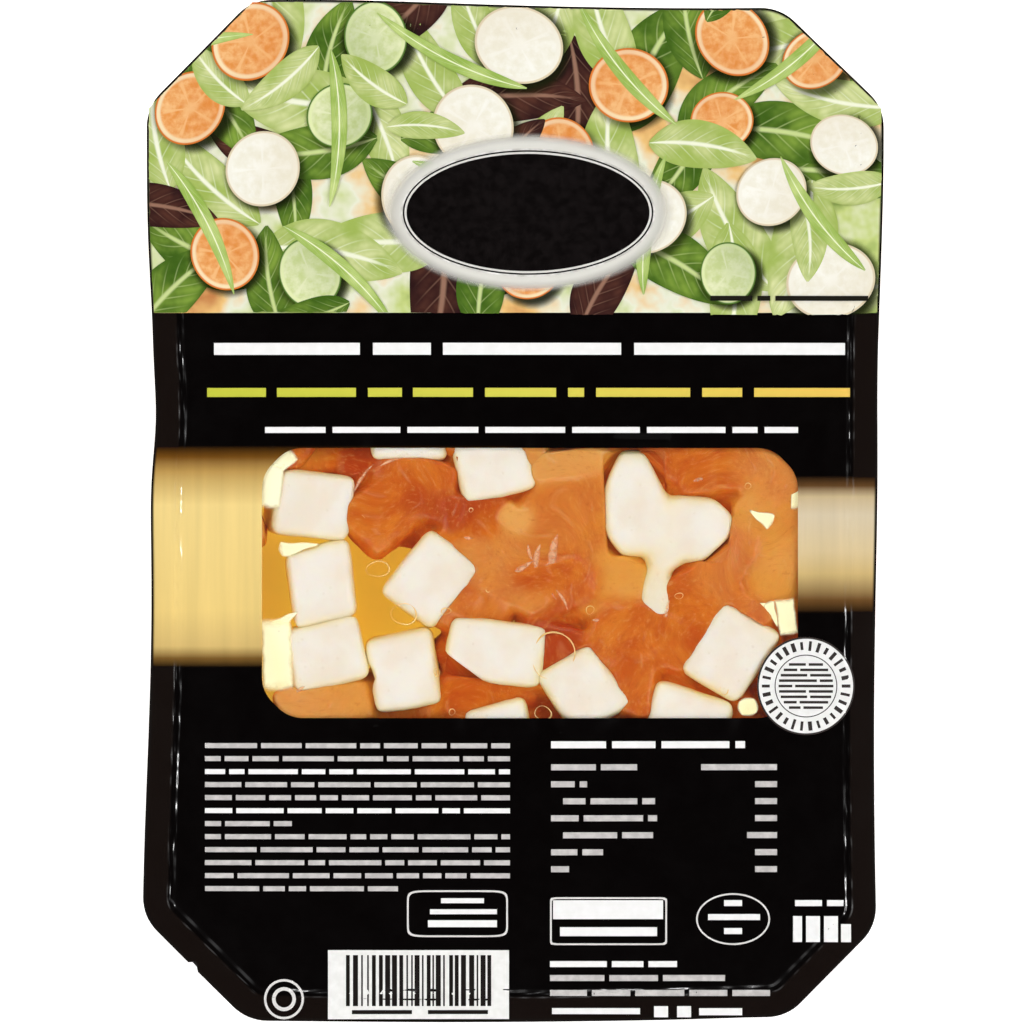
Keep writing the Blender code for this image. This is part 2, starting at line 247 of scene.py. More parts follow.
def pack_loop(inset, spacing, arc=8):
    return octagon_loop(PACK_LINES, CORNER_RADIUS, inset, arc, side_counts(spacing))


def window_loop(spacing, scale=1.0):
    """The window's outline on the flat film, drawn in by scale."""
    loop = octagon_loop(WINDOW_LINES, WINDOW_RADIUS, 0, 8, side_counts(spacing))
    return unsettle(loop * scale + WINDOW_MIDDLE)


def swell(value, centre, width):
    return np.exp(-(((value - centre) / width) ** 2))


def settle(xy):
    """The slight waists and flares of the real outline, as the CAD has them."""
    x, y = xy.T / MM
    left = -0.9 * swell(y, 15, 9) - 0.8 * swell(y, -15, 30) + 0.7 * swell(y, -72, 30)
    left = left - 0.85 * swell(y, 29, 14)
    right = -0.5 * swell(y, -10, 40) - 1.1 * swell(y, -50, 45) + 0.3 * swell(y, 62, 16)
    right = right - 0.45 * swell(y, 24, 16)
    top = 0.5 * swell(x, -32, 22) - 1.0 * swell(x, 32, 40)
    bottom = 0.4 * swell(x, -10, 30) - 0.5 * swell(x, 45, 16)
    across = right * np.maximum(x, 0) / 61 - left * np.maximum(-x, 0) / 61
    along = top * np.maximum(y, 0) / 85 - bottom * np.maximum(-y, 0) / 85
    return np.stack([x + across, y + along], axis=1) * MM + np.array([CENTRE_SHIFT, 0])


def unsettle(xy):
    """The flat place that settle brings to this real one."""
    return 2 * xy - settle(xy)


def inset_of(xy):
    """How far inside the outline each point lies."""
    corners = []
    angles, distances = PACK_LINES
    for i in range(8):
        j = (i + 1) % 8
        reaches = (distances[i] - CORNER_RADIUS, distances[j] - CORNER_RADIUS)
        corners.append(line_crossing(angles[i], reaches[0], angles[j], reaches[1]))
    turns = np.radians(np.arange(0, 360, 5))
    rays = np.stack([np.cos(turns), np.sin(turns)])
    support = (np.array(corners) @ rays).max(axis=0)
    return CORNER_RADIUS - (xy @ rays - support).max(axis=1)


def step(value, low, high):
    share = np.clip((value - low) / (high - low), 0, 1)
    return share * share * (3 - 2 * share)


def in_window(xy, soft):
    """1 inside the window, falling to 0 over the soft distance outside it."""
    past = np.abs(xy - WINDOW_MIDDLE) - WINDOW_HALF
    return 1 - step(past.max(axis=1), 0, soft)


# Cheese cubes as the window shows them: pixels of the top's left, upper, right and
# lower limit, None where the print hides it
SEEN_CUBES = {
    "cheese_01": (271, 469, 354, 541),
    "cheese_02": (286, 540, 357, 628),
    "cheese_03": (283, 616, 369, 694),
    "cheese_04": (382, 530, 480, 628),
    "cheese_05": (365, 628, 442, 713),
    "cheese_06": (442, 616, 548, 688),
    "cheese_07": (450, None, 536, 503),
    "cheese_08": (370, None, 448, 461),
    "cheese_09": (464, 699, 535, None),
    "cheese_10": (600, 449, 672, 558),
    "cheese_11": (664, 494, 735, 566),
    "cheese_12": (537, 645, 630, None),
    "cheese_13": (682, 603, 780, 702),
    "cheese_14": (640, 682, 734, None),
}


def top_limits(points):
    """Lowest and highest x and y of a cube's top."""
    top = points[points[:, 2] > points[:, 2].max() - 2 * MM][:, :2]
    return np.array([top.min(axis=0), top.max(axis=0)])


def seen_limits(node):
    """The limits that the photo shows, or the CAD's where it doesn't."""
    limits = top_limits(points_of(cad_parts[node]))
    left, upper, right, lower = SEEN_CUBES.get(node, (None,) * 4)
    for end, axis, pixel in ((0, 0, left), (1, 0, right), (0, 1, lower), (1, 1, upper)):
        if pixel is not None:
            limits[end, axis] = at(pixel, pixel)[axis]
    return limits


def fit_top(points, limits):
    """Moves and stretches a cube so that its top reaches these limits."""
    own = top_limits(points)
    share = (points[:, :2] - own[0]) / (own[1] - own[0])
    points[:, :2] = limits[0] + share * (limits[1] - limits[0])
    return points


def cube_facts(node):
    """Centre, turn and half sizes of one cube's top, and its height."""
    points = fit_top(points_of(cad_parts[node]), seen_limits(node))
    top = points[points[:, 2] > points[:, 2].max() - 2 * MM][:, :2]
    middle = (top.max(axis=0) + top.min(axis=0)) / 2
    best = None
    for degrees in range(-45, 45):
        turn = math.radians(degrees)
        axes = np.array([[math.cos(turn), math.sin(turn)], [-math.sin(turn), math.cos(turn)]])
        local = (top - middle) @ axes.T
        half = (local.max(axis=0) - local.min(axis=0)) / 2
        if best is None or half[0] * half[1] < best[2][0] * best[2][1]:
            best = (middle, axes, half)
    return (*best, points[:, 2].max())


CUBE_NODES = sorted(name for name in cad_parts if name.startswith("cheese_"))
CUBES = [cube_facts(node) for node in CUBE_NODES]


def over_cubes(xy):
    """1 over the cubes' tops, 0 well away from them."""
    rise = np.zeros(len(xy))
    for middle, axes, half, _ in CUBES:
        past = (np.abs((xy - middle) @ axes.T) - half).max(axis=1)
        rise = np.maximum(rise, 1 - step(past, -0.6 * MM, 2.0 * MM))
    return rise


def ripple(xy):
    """Irregular short wave along the sealed edge."""
    x, y = xy.T / MM
    first = x + 1.07 * y
    second = x - 0.9 * y
    wave_a = np.sin(first / 0.52 + 2.1 * np.sin(first / 2.9))
    wave_b = np.sin(second / 0.71 + 1.7 * np.sin(second / 4.1))
    return wave_a * wave_b


def lid_height(xy, puckers=True):
    """Height of the lid over the flat outline, before it is settled."""
    inset = inset_of(xy)
    real = settle(xy)
    x, y = real.T
    free = np.clip(1 - inset / FLANGE_WIDTH, 0, None)
    slow = np.sin(y / (17 * MM) + 0.6) + np.sin(x / (13 * MM) - 1.1)
    across = np.clip(1 - (x / (54 * MM)) ** 2, 0, None) ** 0.8
    along = np.clip(1 - (y / (78 * MM)) ** 2, 0, None) ** 0.8
    inner = step(inset, GROOVE_INSET, GROOVE_INSET + 3 * MM)
    art = step(y, ART_EDGE - 2 * MM, ART_EDGE + 6 * MM)
    if puckers:
        groove = crease_depth(real, inset) * (1 - 0.6 * art)
    else:
        groove = GROOVE_DEPTH * (1 - 0.6 * art) * swell(inset, GROOVE_INSET, GROOVE_WIDTH)
    window = in_window(real, 5 * MM)
    relief = 0.34 * MM * window * (over_cubes(real) - 0.6) * inner
    height = FLANGE_TOP + 0.5 * FLANGE_WAVE * free * slow
    height = height + CROWN * across * along * inner + relief - groove
    uneven = np.sin(x / (3.1 * MM) + 2 * np.sin(y / (5.3 * MM))) * np.sin(y / (3.7 * MM))
    return height + 0.05 * MM * uneven * (1 - window) * step(inset, 0, 2 * MM)


def crease_depth(real, inset):
    """Depth of the print's crease, deeper in irregular dashes along it."""
    deep = step(ripple(real * 0.6), -0.05, 0.2)
    depth = CREASE_SHALLOW + (CREASE_DEEP - CREASE_SHALLOW) * deep
    slack = 1.35 + 0.35 * np.sin(real.sum(axis=1) / (7 * MM))
    fall = np.clip((inset - CREASE_OUTER) / CREASE_WALL + 0.5, 0, 1)
    rise = np.clip((inset - CREASE_INNER) / (CREASE_WALL * slack) + 0.5, 0, 1)
    return depth * (fall - rise)


def film_height(xy):
    """Height of the clear film over these real places."""
    return lid_height(unsettle(xy), False)


def drape(obj, lift, puckers=True):
    """Lays a flat piece on the lid: its own z becomes height over the lid."""
    points = points_of(obj)
    points[:, 2] += lid_height(points[:, :2], puckers) + lift
    points[:, :2] = settle(points[:, :2])
    put_points(obj, points)


def lay_on(ply, obj, lift, settled):
    """Lays a flat piece on the printed film. A settled one follows the outline's
    waists, the others lie where the photo has them."""
    tree = BVHTree.FromObject(ply, bpy.context.evaluated_depsgraph_get())
    points = points_of(obj)
    flat = points[:, :2].copy() if settled else unsettle(points[:, :2])
    height = lid_height(flat) + PRINT_LIFT
    points[:, :2] = settle(flat)
    for number, (x, y, _) in enumerate(points):
        hit = tree.ray_cast(Vector((x, y, 0.03)), Vector((0, 0, -1)))[0]
        if hit and abs(hit.z - height[number]) < 0.3 * MM:
            height[number] = hit.z
    points[:, 2] += height + lift
    put_points(obj, points)


def cut_notch(loop):
    """Pulls the points of an outer loop in to the small tear notch."""
    tip = at(*NOTCH)
    along = (loop - tip) @ np.array([1, -1]) * math.sqrt(0.5)
    near = np.linalg.norm(loop - tip, axis=1) < 4 * MM
    depth = NOTCH_DEPTH * np.clip(1 - np.abs(along) / NOTCH_HALF_WIDTH, 0, 1) * near
    return loop + depth[:, None] * math.sqrt(0.5)


def loft(name, loops):
    """Skins closed loops of 3-D points, by extruding a circle from one to the next."""
    deselect()
    count = len(loops[0])
    bpy.ops.mesh.primitive_circle_add(vertices=count, radius=10 * MM)
    obj = named(name)
    bpy.ops.object.mode_set(mode="EDIT")
    ring = list(range(count))
    for number, loop in enumerate(loops):
        if number:
            bpy.ops.mesh.extrude_edges_move()
        bm = bmesh.from_edit_mesh(obj.data)
        bm.verts.ensure_lookup_table()
        if number:
            ring = [next_index(bm.verts[i]) for i in ring]
        for index, point in zip(ring, loop):
            bm.verts[index].co = point
        bmesh.update_edit_mesh(obj.data)
    bpy.ops.object.mode_set(mode="OBJECT")
    return obj


def next_index(vert):
    """The fresh vertex that an extrusion made from this one."""
    for edge in vert.link_edges:
        other = edge.other_vert(vert)
        if other.select and not vert.select:
            return other.index
    raise ValueError("no extruded vertex")


def flat_loop(loop, height=0.0):
    return np.column_stack([loop, np.full(len(loop), height)])


def cap(obj, top, bottom):
    """Closes a lofted tube with one face at each open end. Its top and bottom are not used."""
    pick(obj)
    bpy.ops.object.mode_set(mode="EDIT")
    bpy.ops.mesh.select_mode(type="EDGE")
    bpy.ops.mesh.select_all(action="DESELECT")
    bpy.ops.mesh.select_non_manifold(extend=False)
    bpy.ops.mesh.edge_face_add()
    bpy.ops.mesh.select_mode(type="VERT")
    bpy.ops.object.mode_set(mode="OBJECT")


# Shader tools

class Value:
    """A socket's value, so that shader maths reads as an expression."""

    def __init__(self, paint, socket):
        self.paint = paint
        self.socket = socket

    def math(self, operation, first, second=None):
        inputs = {0: first} if second is None else {0: first, 1: second}
        return self.paint.node("ShaderNodeMath", {"operation": operation}, inputs)

    def __add__(self, other):
        return self.math("ADD", self, other)

    def __sub__(self, other):
        return self.math("SUBTRACT", self, other)

    def __rsub__(self, other):
        return self.math("SUBTRACT", other, self)

    def __mul__(self, other):
        return self.math("MULTIPLY", self, other)

    def __truediv__(self, other):
        return self.math("DIVIDE", self, other)

    def __pow__(self, other):
        return self.math("POWER", self, other)

    def __abs__(self):
        return self.math("ABSOLUTE", self)

    def __lt__(self, other):
        return self.math("LESS_THAN", self, other)

    def __gt__(self, other):
        return self.math("GREATER_THAN", self, other)

    __radd__ = __add__
    __rmul__ = __mul__


class Paint:
    """A material under construction."""

    def __init__(self, name):
        self.material = bpy.data.materials.new(name)
        self.material.use_nodes = True
        self.tree = self.material.node_tree
        self.tree.nodes.clear()
        self.output = self.tree.nodes.new("ShaderNodeOutputMaterial")

    def node(self, kind, settings=None, inputs=None, out=0):
        made = self.tree.nodes.new(kind)
        for key, value in (settings or {}).items():
            if key == "stops":
                fill_ramp(made.color_ramp, value)
            else:
                setattr(made, key, value)
        for key, value in (inputs or {}).items():
            if isinstance(value, Value):
                self.tree.links.new(value.socket, made.inputs[key])
            else:
                made.inputs[key].default_value = value
        return Value(self, made.outputs[out])

    def places(self, scale=1.0):
        """Object coordinates, scaled, so that 1000 gives millimetres."""
        raw = self.node("ShaderNodeTexCoord", out="Object")
        return self.scaled(raw, scale)

    def own(self, name, scale=1.0):
        raw = self.node("ShaderNodeAttribute", {"attribute_name": name}, out="Vector")
        return self.scaled(raw, scale)

    def number(self, name):
        return self.node("ShaderNodeAttribute", {"attribute_name": name}, out="Fac")

    def scaled(self, vector, scale):
        size = scale if isinstance(scale, tuple) else (scale,) * 3
        return self.node("ShaderNodeMapping", None, {"Vector": vector, "Scale": size})

    def split(self, vector):
        made = self.tree.nodes.new("ShaderNodeSeparateXYZ")
        self.tree.links.new(vector.socket, made.inputs[0])
        return [Value(self, out) for out in made.outputs]

    def noise(self, vector, scale, detail=3.0, rough=0.5, distort=0.0):
        inputs = {"Vector": vector, "Scale": scale, "Detail": detail}
        inputs.update({"Roughness": rough, "Distortion": distort})
        return self.node("ShaderNodeTexNoise", None, inputs)

    def cells(self, vector, scale, feature="F1", out="Distance"):
        inputs = {"Vector": vector, "Scale": scale}
        return self.node("ShaderNodeTexVoronoi", {"feature": feature}, inputs, out)

    def between(self, value, low, high, first=0.0, last=1.0):
        """Smooth step from first to last as the value goes from low to high."""
        inputs = {"Value": value, "From Min": low, "From Max": high}
        inputs.update({"To Min": first, "To Max": last})
        settings = {"interpolation_type": "SMOOTHSTEP"}
        return self.node("ShaderNodeMapRange", settings, inputs)

    def mix(self, share, first, second):
        made = self.tree.nodes.new("ShaderNodeMix")
        made.data_type = "RGBA"
        for socket, value in zip((made.inputs[0], made.inputs[6], made.inputs[7]), (share, first, second)):
            if isinstance(value, Value):
                self.tree.links.new(value.socket, socket)
            else:
                socket.default_value = value
        return Value(self, made.outputs[2])

    def ramp(self, value, stops):
        return self.node("ShaderNodeValToRGB", {"stops": stops}, {0: value})

    def bump(self, height, strength, distance):
        inputs = {"Height": height, "Strength": strength, "Distance": distance}
        return self.node("ShaderNodeBump", None, inputs)

    def surface(self, **inputs):
        named_inputs = {key.replace("_", " "): value for key, value in inputs.items()}
        return self.node("ShaderNodeBsdfPrincipled", None, named_inputs)

    def finish(self, surface, volume=None):
        self.tree.links.new(surface.socket, self.output.inputs["Surface"])
        if volume:
            self.tree.links.new(volume.socket, self.output.inputs["Volume"])
        return self.material


def fill_ramp(ramp, stops):
    while len(ramp.elements) < len(stops):
        ramp.elements.new(0.5)
    for element, (position, colour) in zip(ramp.elements, stops):
        element.position = position
        element.color = colour


def rgb(red, green, blue):
    """A colour read as 0 to 255 from the photo, as the renderer's linear light."""
    shares = [c / 255 for c in (red, green, blue)]
    linear = [c / 12.92 if c <= 0.04045 else ((c + 0.055) / 1.055) ** 2.4 for c in shares]
    return (*linear, 1.0)


# Finishes

def clear_plastic(name, tint, haze):
    """Clear plastic: mostly see-through, glossy at a slant, with a faint haze."""
    paint = Paint(name)
    through = paint.node("ShaderNodeBsdfTransparent", None, {"Color": tint})
    gloss = paint.node("ShaderNodeBsdfGlossy", None, {"Roughness": 0.06})
    milk = paint.node("ShaderNodeBsdfDiffuse", None, {"Color": (0.9, 0.92, 0.92, 1)})
    body = paint.node("ShaderNodeMixShader", None, {0: haze, 1: through, 2: milk})
    slant = paint.node("ShaderNodeLayerWeight", None, {"Blend": 0.5}, "Facing")
    share = (slant ** 4) * 0.4 + 0.015
    skin = paint.node("ShaderNodeMixShader", None, {0: share, 1: body, 2: gloss})
    return paint.finish(skin)


def oil_finish():
    """Amber oil that deepens with its depth."""
    paint = Paint("amber oil")
    through = paint.node("ShaderNodeBsdfTransparent", None, {"Color": (1, 1, 1, 1)})
    inputs = {"Color": OIL_COLOUR, "Density": OIL_DENSITY}
    depth = paint.node("ShaderNodeVolumeAbsorption", None, inputs)
    return paint.finish(through, depth)


OIL_COLOUR = (0.965, 0.83, 0.2, 1)
OIL_DENSITY = 380


def cheese_finish():
    """Soft white cheese with a faint crumb and faint yellower pores."""
    paint = Paint("white cheese")
    mm = paint.places(1000)
    patchy = paint.noise(mm, 0.16, 3)
    crumb = paint.noise(mm, 1.4, 4, 0.6)
    pores = paint.cells(mm, 0.55)
    colour = paint.mix(paint.between(patchy, 0.35, 0.7), rgb(250, 241, 231), rgb(245, 232, 216))
    colour = paint.mix(paint.between(pores, 0.16, 0.05) * 0.25, colour, rgb(224, 206, 176))
    height = crumb * 0.5 + paint.between(pores, 0.05, 0.2) * 0.5
    bump = paint.bump(height, 0.5, 0.15 * MM)
    skin = paint.surface(
        Base_Color=colour, Roughness=0.4, Normal=bump, Specular_IOR_Level=0.15,
        Subsurface_Weight=0.4,
        Subsurface_Radius=(1.6, 1.1, 0.6), Subsurface_Scale=1.1 * MM,
    )
    return paint.finish(skin)


def salmon_finish():
    """Moist smoked salmon: layered orange flesh with pale lines of fat."""
    paint = Paint("smoked salmon")
    grain = paint.own("grain", 1.0)
    tone = paint.number("tone")
    warped = paint.noise(grain, 0.11, 2)
    x, y, z = paint.split(grain)
    layers = x + warped * 9.0 + y * 0.15
    wave = paint.node("ShaderNodeMath", {"operation": "PINGPONG"}, {0: layers, 1: 2.3})
    broken = paint.between(paint.noise(grain, 0.3, 3), 0.48, 0.66)
    fat = paint.between(wave, 0.6, 0.1) * broken
    deep = paint.noise(grain, 0.2, 4, 0.55)
    flesh = paint.mix(paint.between(deep, 0.3, 0.72), rgb(203, 90, 8), rgb(223, 126, 30))
    flesh = paint.mix(paint.between(tone, 0.0, 0.9), flesh, rgb(236, 172, 92))
    # Partly painted shade: low tones darken the flesh to deep red, for pieces that lie in deep, shadowed gaps
    flesh = paint.mix(paint.between(tone, 0.0, -1.0), flesh, rgb(184, 66, 4))
    speckle = paint.noise(grain, 1.1, 4, 0.65)
    flesh = paint.mix(paint.between(speckle, 0.5, 0.75) * 0.35, flesh, rgb(236, 172, 98))
    flesh = paint.mix(paint.between(speckle, 0.45, 0.25) * 0.35, flesh, rgb(180, 68, 10))
    colour = paint.mix(fat * 0.2, flesh, rgb(238, 176, 128))
    fibres = paint.noise(paint.scaled(grain, (1.0, 0.5, 1.0)), 1.9, 4, 0.6)
    height = fibres * 0.5 + fat * 0.35 + deep * 0.8
    bump = paint.bump(height, 0.55, 0.35 * MM)
    skin = paint.surface(
        Base_Color=colour, Roughness=0.3, Normal=bump, Specular_IOR_Level=0.12,
        Subsurface_Weight=0.45,
        Subsurface_Radius=(3.0, 1.0, 0.4), Subsurface_Scale=0.9 * MM,
    )
    return paint.finish(skin)


def ink(name, colour, second=None, rough=0.22):
    """Plain printed ink under gloss film, with a little unevenness."""
    paint = Paint(name)
    mm = paint.places(1000)
    uneven = paint.noise(mm, 0.7, 3)
    shade = paint.mix(paint.between(uneven, 0.3, 0.75), colour, second or colour)
    skin = paint.surface(
        Base_Color=shade, Roughness=rough, Specular_IOR_Level=0.12,
        Coat_Weight=0.4, Coat_Roughness=0.08,
    )
    return paint.finish(skin)


def print_finish():
    """The printed film: black field, art field, and a gold band beside the window, with a painted sheen that lifts
    the flange's black and painted shade that darkens the outer rim.
    """
    paint = Paint("printed film")
    mm = paint.places(1000)
    x, y, z = paint.split(mm)
    black = rgb(3, 1, 1)
    band_top = at(0, 440)[1] / MM
    band_bottom = at(0, 675)[1] / MM
    share = (band_top - y) / (band_top - band_bottom)
    left = paint.ramp(share, band_stops(LEFT_BAND))
    right = paint.ramp(share, band_stops(RIGHT_BAND))
    streak = paint.noise(paint.scaled(mm, (1.0, 0.05, 1.0)), 0.5, 3)
    side = paint.between(x, -2.0, 2.0)
    band = paint.mix(side, left, right)
    band = paint.node("ShaderNodeVectorMath", {"operation": "SCALE"}, {0: band, "Scale": streak * 0.3 + 0.87})
    edge = paint.number("edge")
    # Painted sheen: the black outside the crease is lifted to dark brown, for the flange's soft sheen
    flange_sheen = paint.between(edge, 4.3, 3.9) * 0.85
    lift = paint.mix(flange_sheen, black, rgb(22, 15, 12))
    band = paint.node("ShaderNodeVectorMath", {"operation": "MAXIMUM"}, {0: band, 1: lift})
    field = paint.mix(art_mask(paint, y), band, art_ground(paint, mm))
    bare = (y < band_top) * (y > band_bottom)
    printed = art_mask(paint, y) + bare
    colour = paint.mix(printed, lift, field)
    # Painted shade: the outermost 0.7 mm darkens to near black, where the film turns down at its cut edge
    colour = paint.mix(paint.between(edge, 0.7, 0.25), colour, rgb(22, 18, 16))
    scuff = paint.noise(mm, 0.35, 4, 0.6)
    skin = paint.surface(
        Base_Color=colour, Roughness=paint.between(scuff, 0.3, 0.7, 0.19, 0.23),
        Specular_IOR_Level=0.12, Coat_Weight=0.5, Coat_Roughness=0.06,
    )
    return paint.finish(skin)


def art_mask(paint, y):
    return paint.between(y, ART_EDGE / MM - 0.03, ART_EDGE / MM + 0.03)


def art_ground(paint, mm):
    """Soft mottled ground of the art field: pale green, cream, orange, dark green."""
    wide = paint.noise(mm, 0.05, 2, 0.5, 0.4)
    fine = paint.noise(mm, 0.13, 3, 0.55)
    stops = [
        (0.28, rgb(54, 66, 30)),
        (0.36, rgb(120, 150, 62)),
        (0.44, rgb(198, 212, 130)),
        (0.52, rgb(236, 236, 214)),
        (0.6, rgb(240, 196, 124)),
        (0.7, rgb(190, 110, 60)),
    ]
    return paint.ramp(wide * 0.6 + fine * 0.4, stops)


# Gold band: pixel rows of the photo and the colour there
LEFT_BAND = (
    (446, (3, 1, 1)),
    (457, (110, 70, 20)),
    (472, (188, 150, 82)),
    (505, (238, 210, 136)),
    (610, (235, 204, 126)),
    (646, (214, 183, 114)),
    (658, (120, 88, 40)),
    (667, (3, 1, 1)),
)
RIGHT_BAND = (
    (476, (3, 1, 1)),
    (486, (96, 66, 36)),
    (497, (200, 178, 138)),
    (515, (214, 198, 168)),
    (550, (216, 194, 150)),
    (573, (206, 178, 120)),
    (600, (104, 72, 36)),
    (613, (3, 1, 1)),
)


def band_stops(rows):
    top, bottom = 440, 675
    return [((row - top) / (bottom - top), rgb(*colour)) for row, colour in rows]


# Tray, oil and lid

def make_tray():
    """Clear formed tray: flange, drafted wall, rounded foot, flat floor."""
    spacing = 2.2 * MM
    inner = [
        (0.0, 9.6), (2.0, 9.6), (3.4, 9.6), (3.75, 9.56), (3.95, 9.42), (4.1, 9.1),
        (4.7, 6.4), (5.3, 3.6), (5.55, 2.4), (5.85, 1.6), (6.4, 1.0), (7.2, 0.68), (8.4, 0.6),
    ]
    outer = [
        (8.4, 0.0), (7.0, 0.06), (6.1, 0.4), (5.45, 1.1), (5.05, 2.2), (4.75, 3.6),
        (4.15, 6.4), (3.55, 8.7), (3.4, 8.95), (3.1, 9.0), (2.0, 9.0), (0.0, 9.0),
    ]
    loops = []
    for inset, height in inner[::-1] + outer[::-1]:
        loop = pack_loop(inset * MM, spacing)
        if inset == 0.0:
            loop = cut_notch(loop)
        real = settle(loop)
        free = np.clip(1 - inset * MM / FLANGE_WIDTH, 0, None)
        slow = np.sin(real[:, 1] / (17 * MM) + 0.6) + np.sin(real[:, 0] / (13 * MM) - 1.1)
        wave = 0.5 * FLANGE_WAVE * free * slow
        wall = 1.0 if 1.2 < height < 9.0 else 0.0
        dent = 0.09 * MM * wall * np.sin(real.sum(axis=1) / (6.0 * MM)) * math.sin(height)
        toward = -real / np.linalg.norm(real, axis=1)[:, None]
        real = real + toward * dent[:, None]
        loops.append(np.column_stack([real, height * MM + wave]))
    tray = loft("clear_tray", loops)
    cap(tray, True, True)
    normals_out(tray)
    smooth(tray, 40)
    tint = (0.97, 0.985, 0.98, 1)
    return dress(tray, clear_plastic("clear tray plastic", tint, 0.03), ["tray"])


def make_oil():
    """Oil that fills the tray round the contents, up to the film."""
    spacing = 3.0 * MM
    profile = [(8.2, 0.3), (6.7, 0.62), (5.9, 1.3), (5.3, 2.6), (5.0, 3.7), (4.4, 6.4), (3.95, 8.9)]
    loops = []
    for inset, height in profile:
        loops.append(flat_loop(settle(pack_loop(inset * MM, spacing)), height * MM))
    rim = pack_loop(GROOVE_INSET + 0.6 * MM, spacing)
    window = window_loop(spacing)
    tops = [rim + (window - rim) * share for share in (0.0, 0.25, 0.5, 0.75, 1.0)]
    tops += [window_loop(spacing, scale=scale) for scale in np.linspace(0.9, 0.1, 9)]
    for loop in tops:
        height = lid_height(loop, False) - 0.06 * MM
        loops.append(np.column_stack([settle(loop), height]))
    oil = loft("oil", loops)
    cap(oil, True, True)
    normals_out(oil)
    smooth(oil, 50)
    return dress(oil, oil_finish())


def make_film():
    """Clear film sealed over the whole tray."""
    spacing = 2.4 * MM
    loops = [cut_notch(pack_loop(0.25 * MM, spacing))]
    loops += [pack_loop(inset * MM, spacing) for inset in (2.4, 3.4, 4.0, 4.6, 5.3, 6.2, 7.4)]
    rim = loops[-1]
    window = window_loop(spacing)
    loops += [rim + (window - rim) * share for share in (0.2, 0.4, 0.6, 0.8, 0.9, 1.0)]
    scales = np.linspace(1.0, 0.03, 40)[1:]
    loops += [window_loop(spacing, scale=scale) for scale in scales]
    film = loft("clear_film", [flat_loop(loop) for loop in loops])
    cap_inner(film)
    drape(film, FILM_LIFT, False)
    face_up(film)
    apply_modifier(film, "SOLIDIFY", thickness=FILM_THICK, offset=-1)
    smooth(film, 60)
    tint = (0.99, 0.99, 0.985, 1)
    material = clear_plastic("clear film", tint, 0.004)
    return dress(film, material, ["sealing_film"])


def cap_inner(obj):
    """Fills the small hole that is left in a sheet's middle."""
    pick(obj)
    bpy.ops.object.mode_set(mode="EDIT")
    bm = bmesh.from_edit_mesh(obj.data)
    rim = [edge for edge in bm.edges if edge.is_boundary]
    for element in list(bm.verts) + list(bm.edges) + list(bm.faces):
        element.select = False
    for edge in rim:
        middle = (edge.verts[0].co + edge.verts[1].co).xy / 2
        if (Vector(middle) - Vector(WINDOW_MIDDLE)).length < 10 * MM:
            edge.select_set(True)
    bmesh.update_edit_mesh(obj.data)
    bpy.ops.mesh.edge_face_add()
    bpy.ops.object.mode_set(mode="OBJECT")


def face_up(obj):
    """Turns an open sheet so that its faces look up."""
    normals = np.empty(len(obj.data.polygons) * 3)
    obj.data.polygons.foreach_get("normal", normals)
    if normals.reshape(-1, 3)[:, 2].sum() < 0:
        pick(obj)
        bpy.ops.object.mode_set(mode="EDIT")
        bpy.ops.mesh.select_all(action="SELECT")
        bpy.ops.mesh.flip_normals()
        bpy.ops.object.mode_set(mode="OBJECT")


def make_print():
    """Printed outer ply, with the window cut in it."""
    spacing = 0.8 * MM
    loops = [cut_notch(pack_loop(0, spacing))]
    insets = [0.5, 1.6, 2.8, 3.5] + list(np.arange(3.73, 5.5, 0.09)) + [5.8, 6.6, 8.0]
    loops += [pack_loop(inset * MM, spacing) for inset in insets]
    rim = loops[-1]
    window = window_loop(spacing)
    shares = np.linspace(0, 1, 36)[1:]
    loops += [rim + (window - rim) * share for share in shares]
    ply = loft("printed_film", [flat_loop(loop) for loop in loops])
    inset = inset_of(points_of(ply)[:, :2]) / MM
    drape(ply, PRINT_LIFT)
    face_up(ply)
    edge = ply.data.attributes.new("edge", "FLOAT", "POINT")
    edge.data.foreach_set("value", inset.astype(np.float32))
    apply_modifier(ply, "SOLIDIFY", thickness=PRINT_THICK, offset=-1)
    smooth(ply, 50)
    return dress(ply, print_finish(), ["printed_ply"])


# Contents

CUBE_SHARPNESS = 0.5


def rounded_copy(node, name):
    """A welded copy of a CAD cube, in quads, rounded by subdivision."""
    deselect()
    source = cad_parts[node]
    copy = source.copy()
    copy.data = source.data.copy()
    copy.name = name
    copy.parent = None
    for key in list(copy.keys()):
        del copy[key]
    bpy.context.scene.collection.objects.link(copy)
    pick(copy)
    bpy.ops.object.mode_set(mode="EDIT")
    bpy.ops.mesh.select_all(action="SELECT")
    bpy.ops.mesh.remove_doubles(threshold=0.01 * MM)
    bpy.ops.mesh.tris_convert_to_quads()
    bpy.ops.object.mode_set(mode="OBJECT")
    sharp = copy.copy()
    sharp.data = copy.data.copy()
    bpy.context.scene.collection.objects.link(sharp)
    apply_modifier(sharp, "SUBSURF", subdivision_type="SIMPLE", levels=3, render_levels=3)
    subdivide(copy, 3)
    put_points(copy, CUBE_SHARPNESS * points_of(sharp) + (1 - CUBE_SHARPNESS) * points_of(copy))
    bpy.data.objects.remove(sharp, do_unlink=True)
    return copy


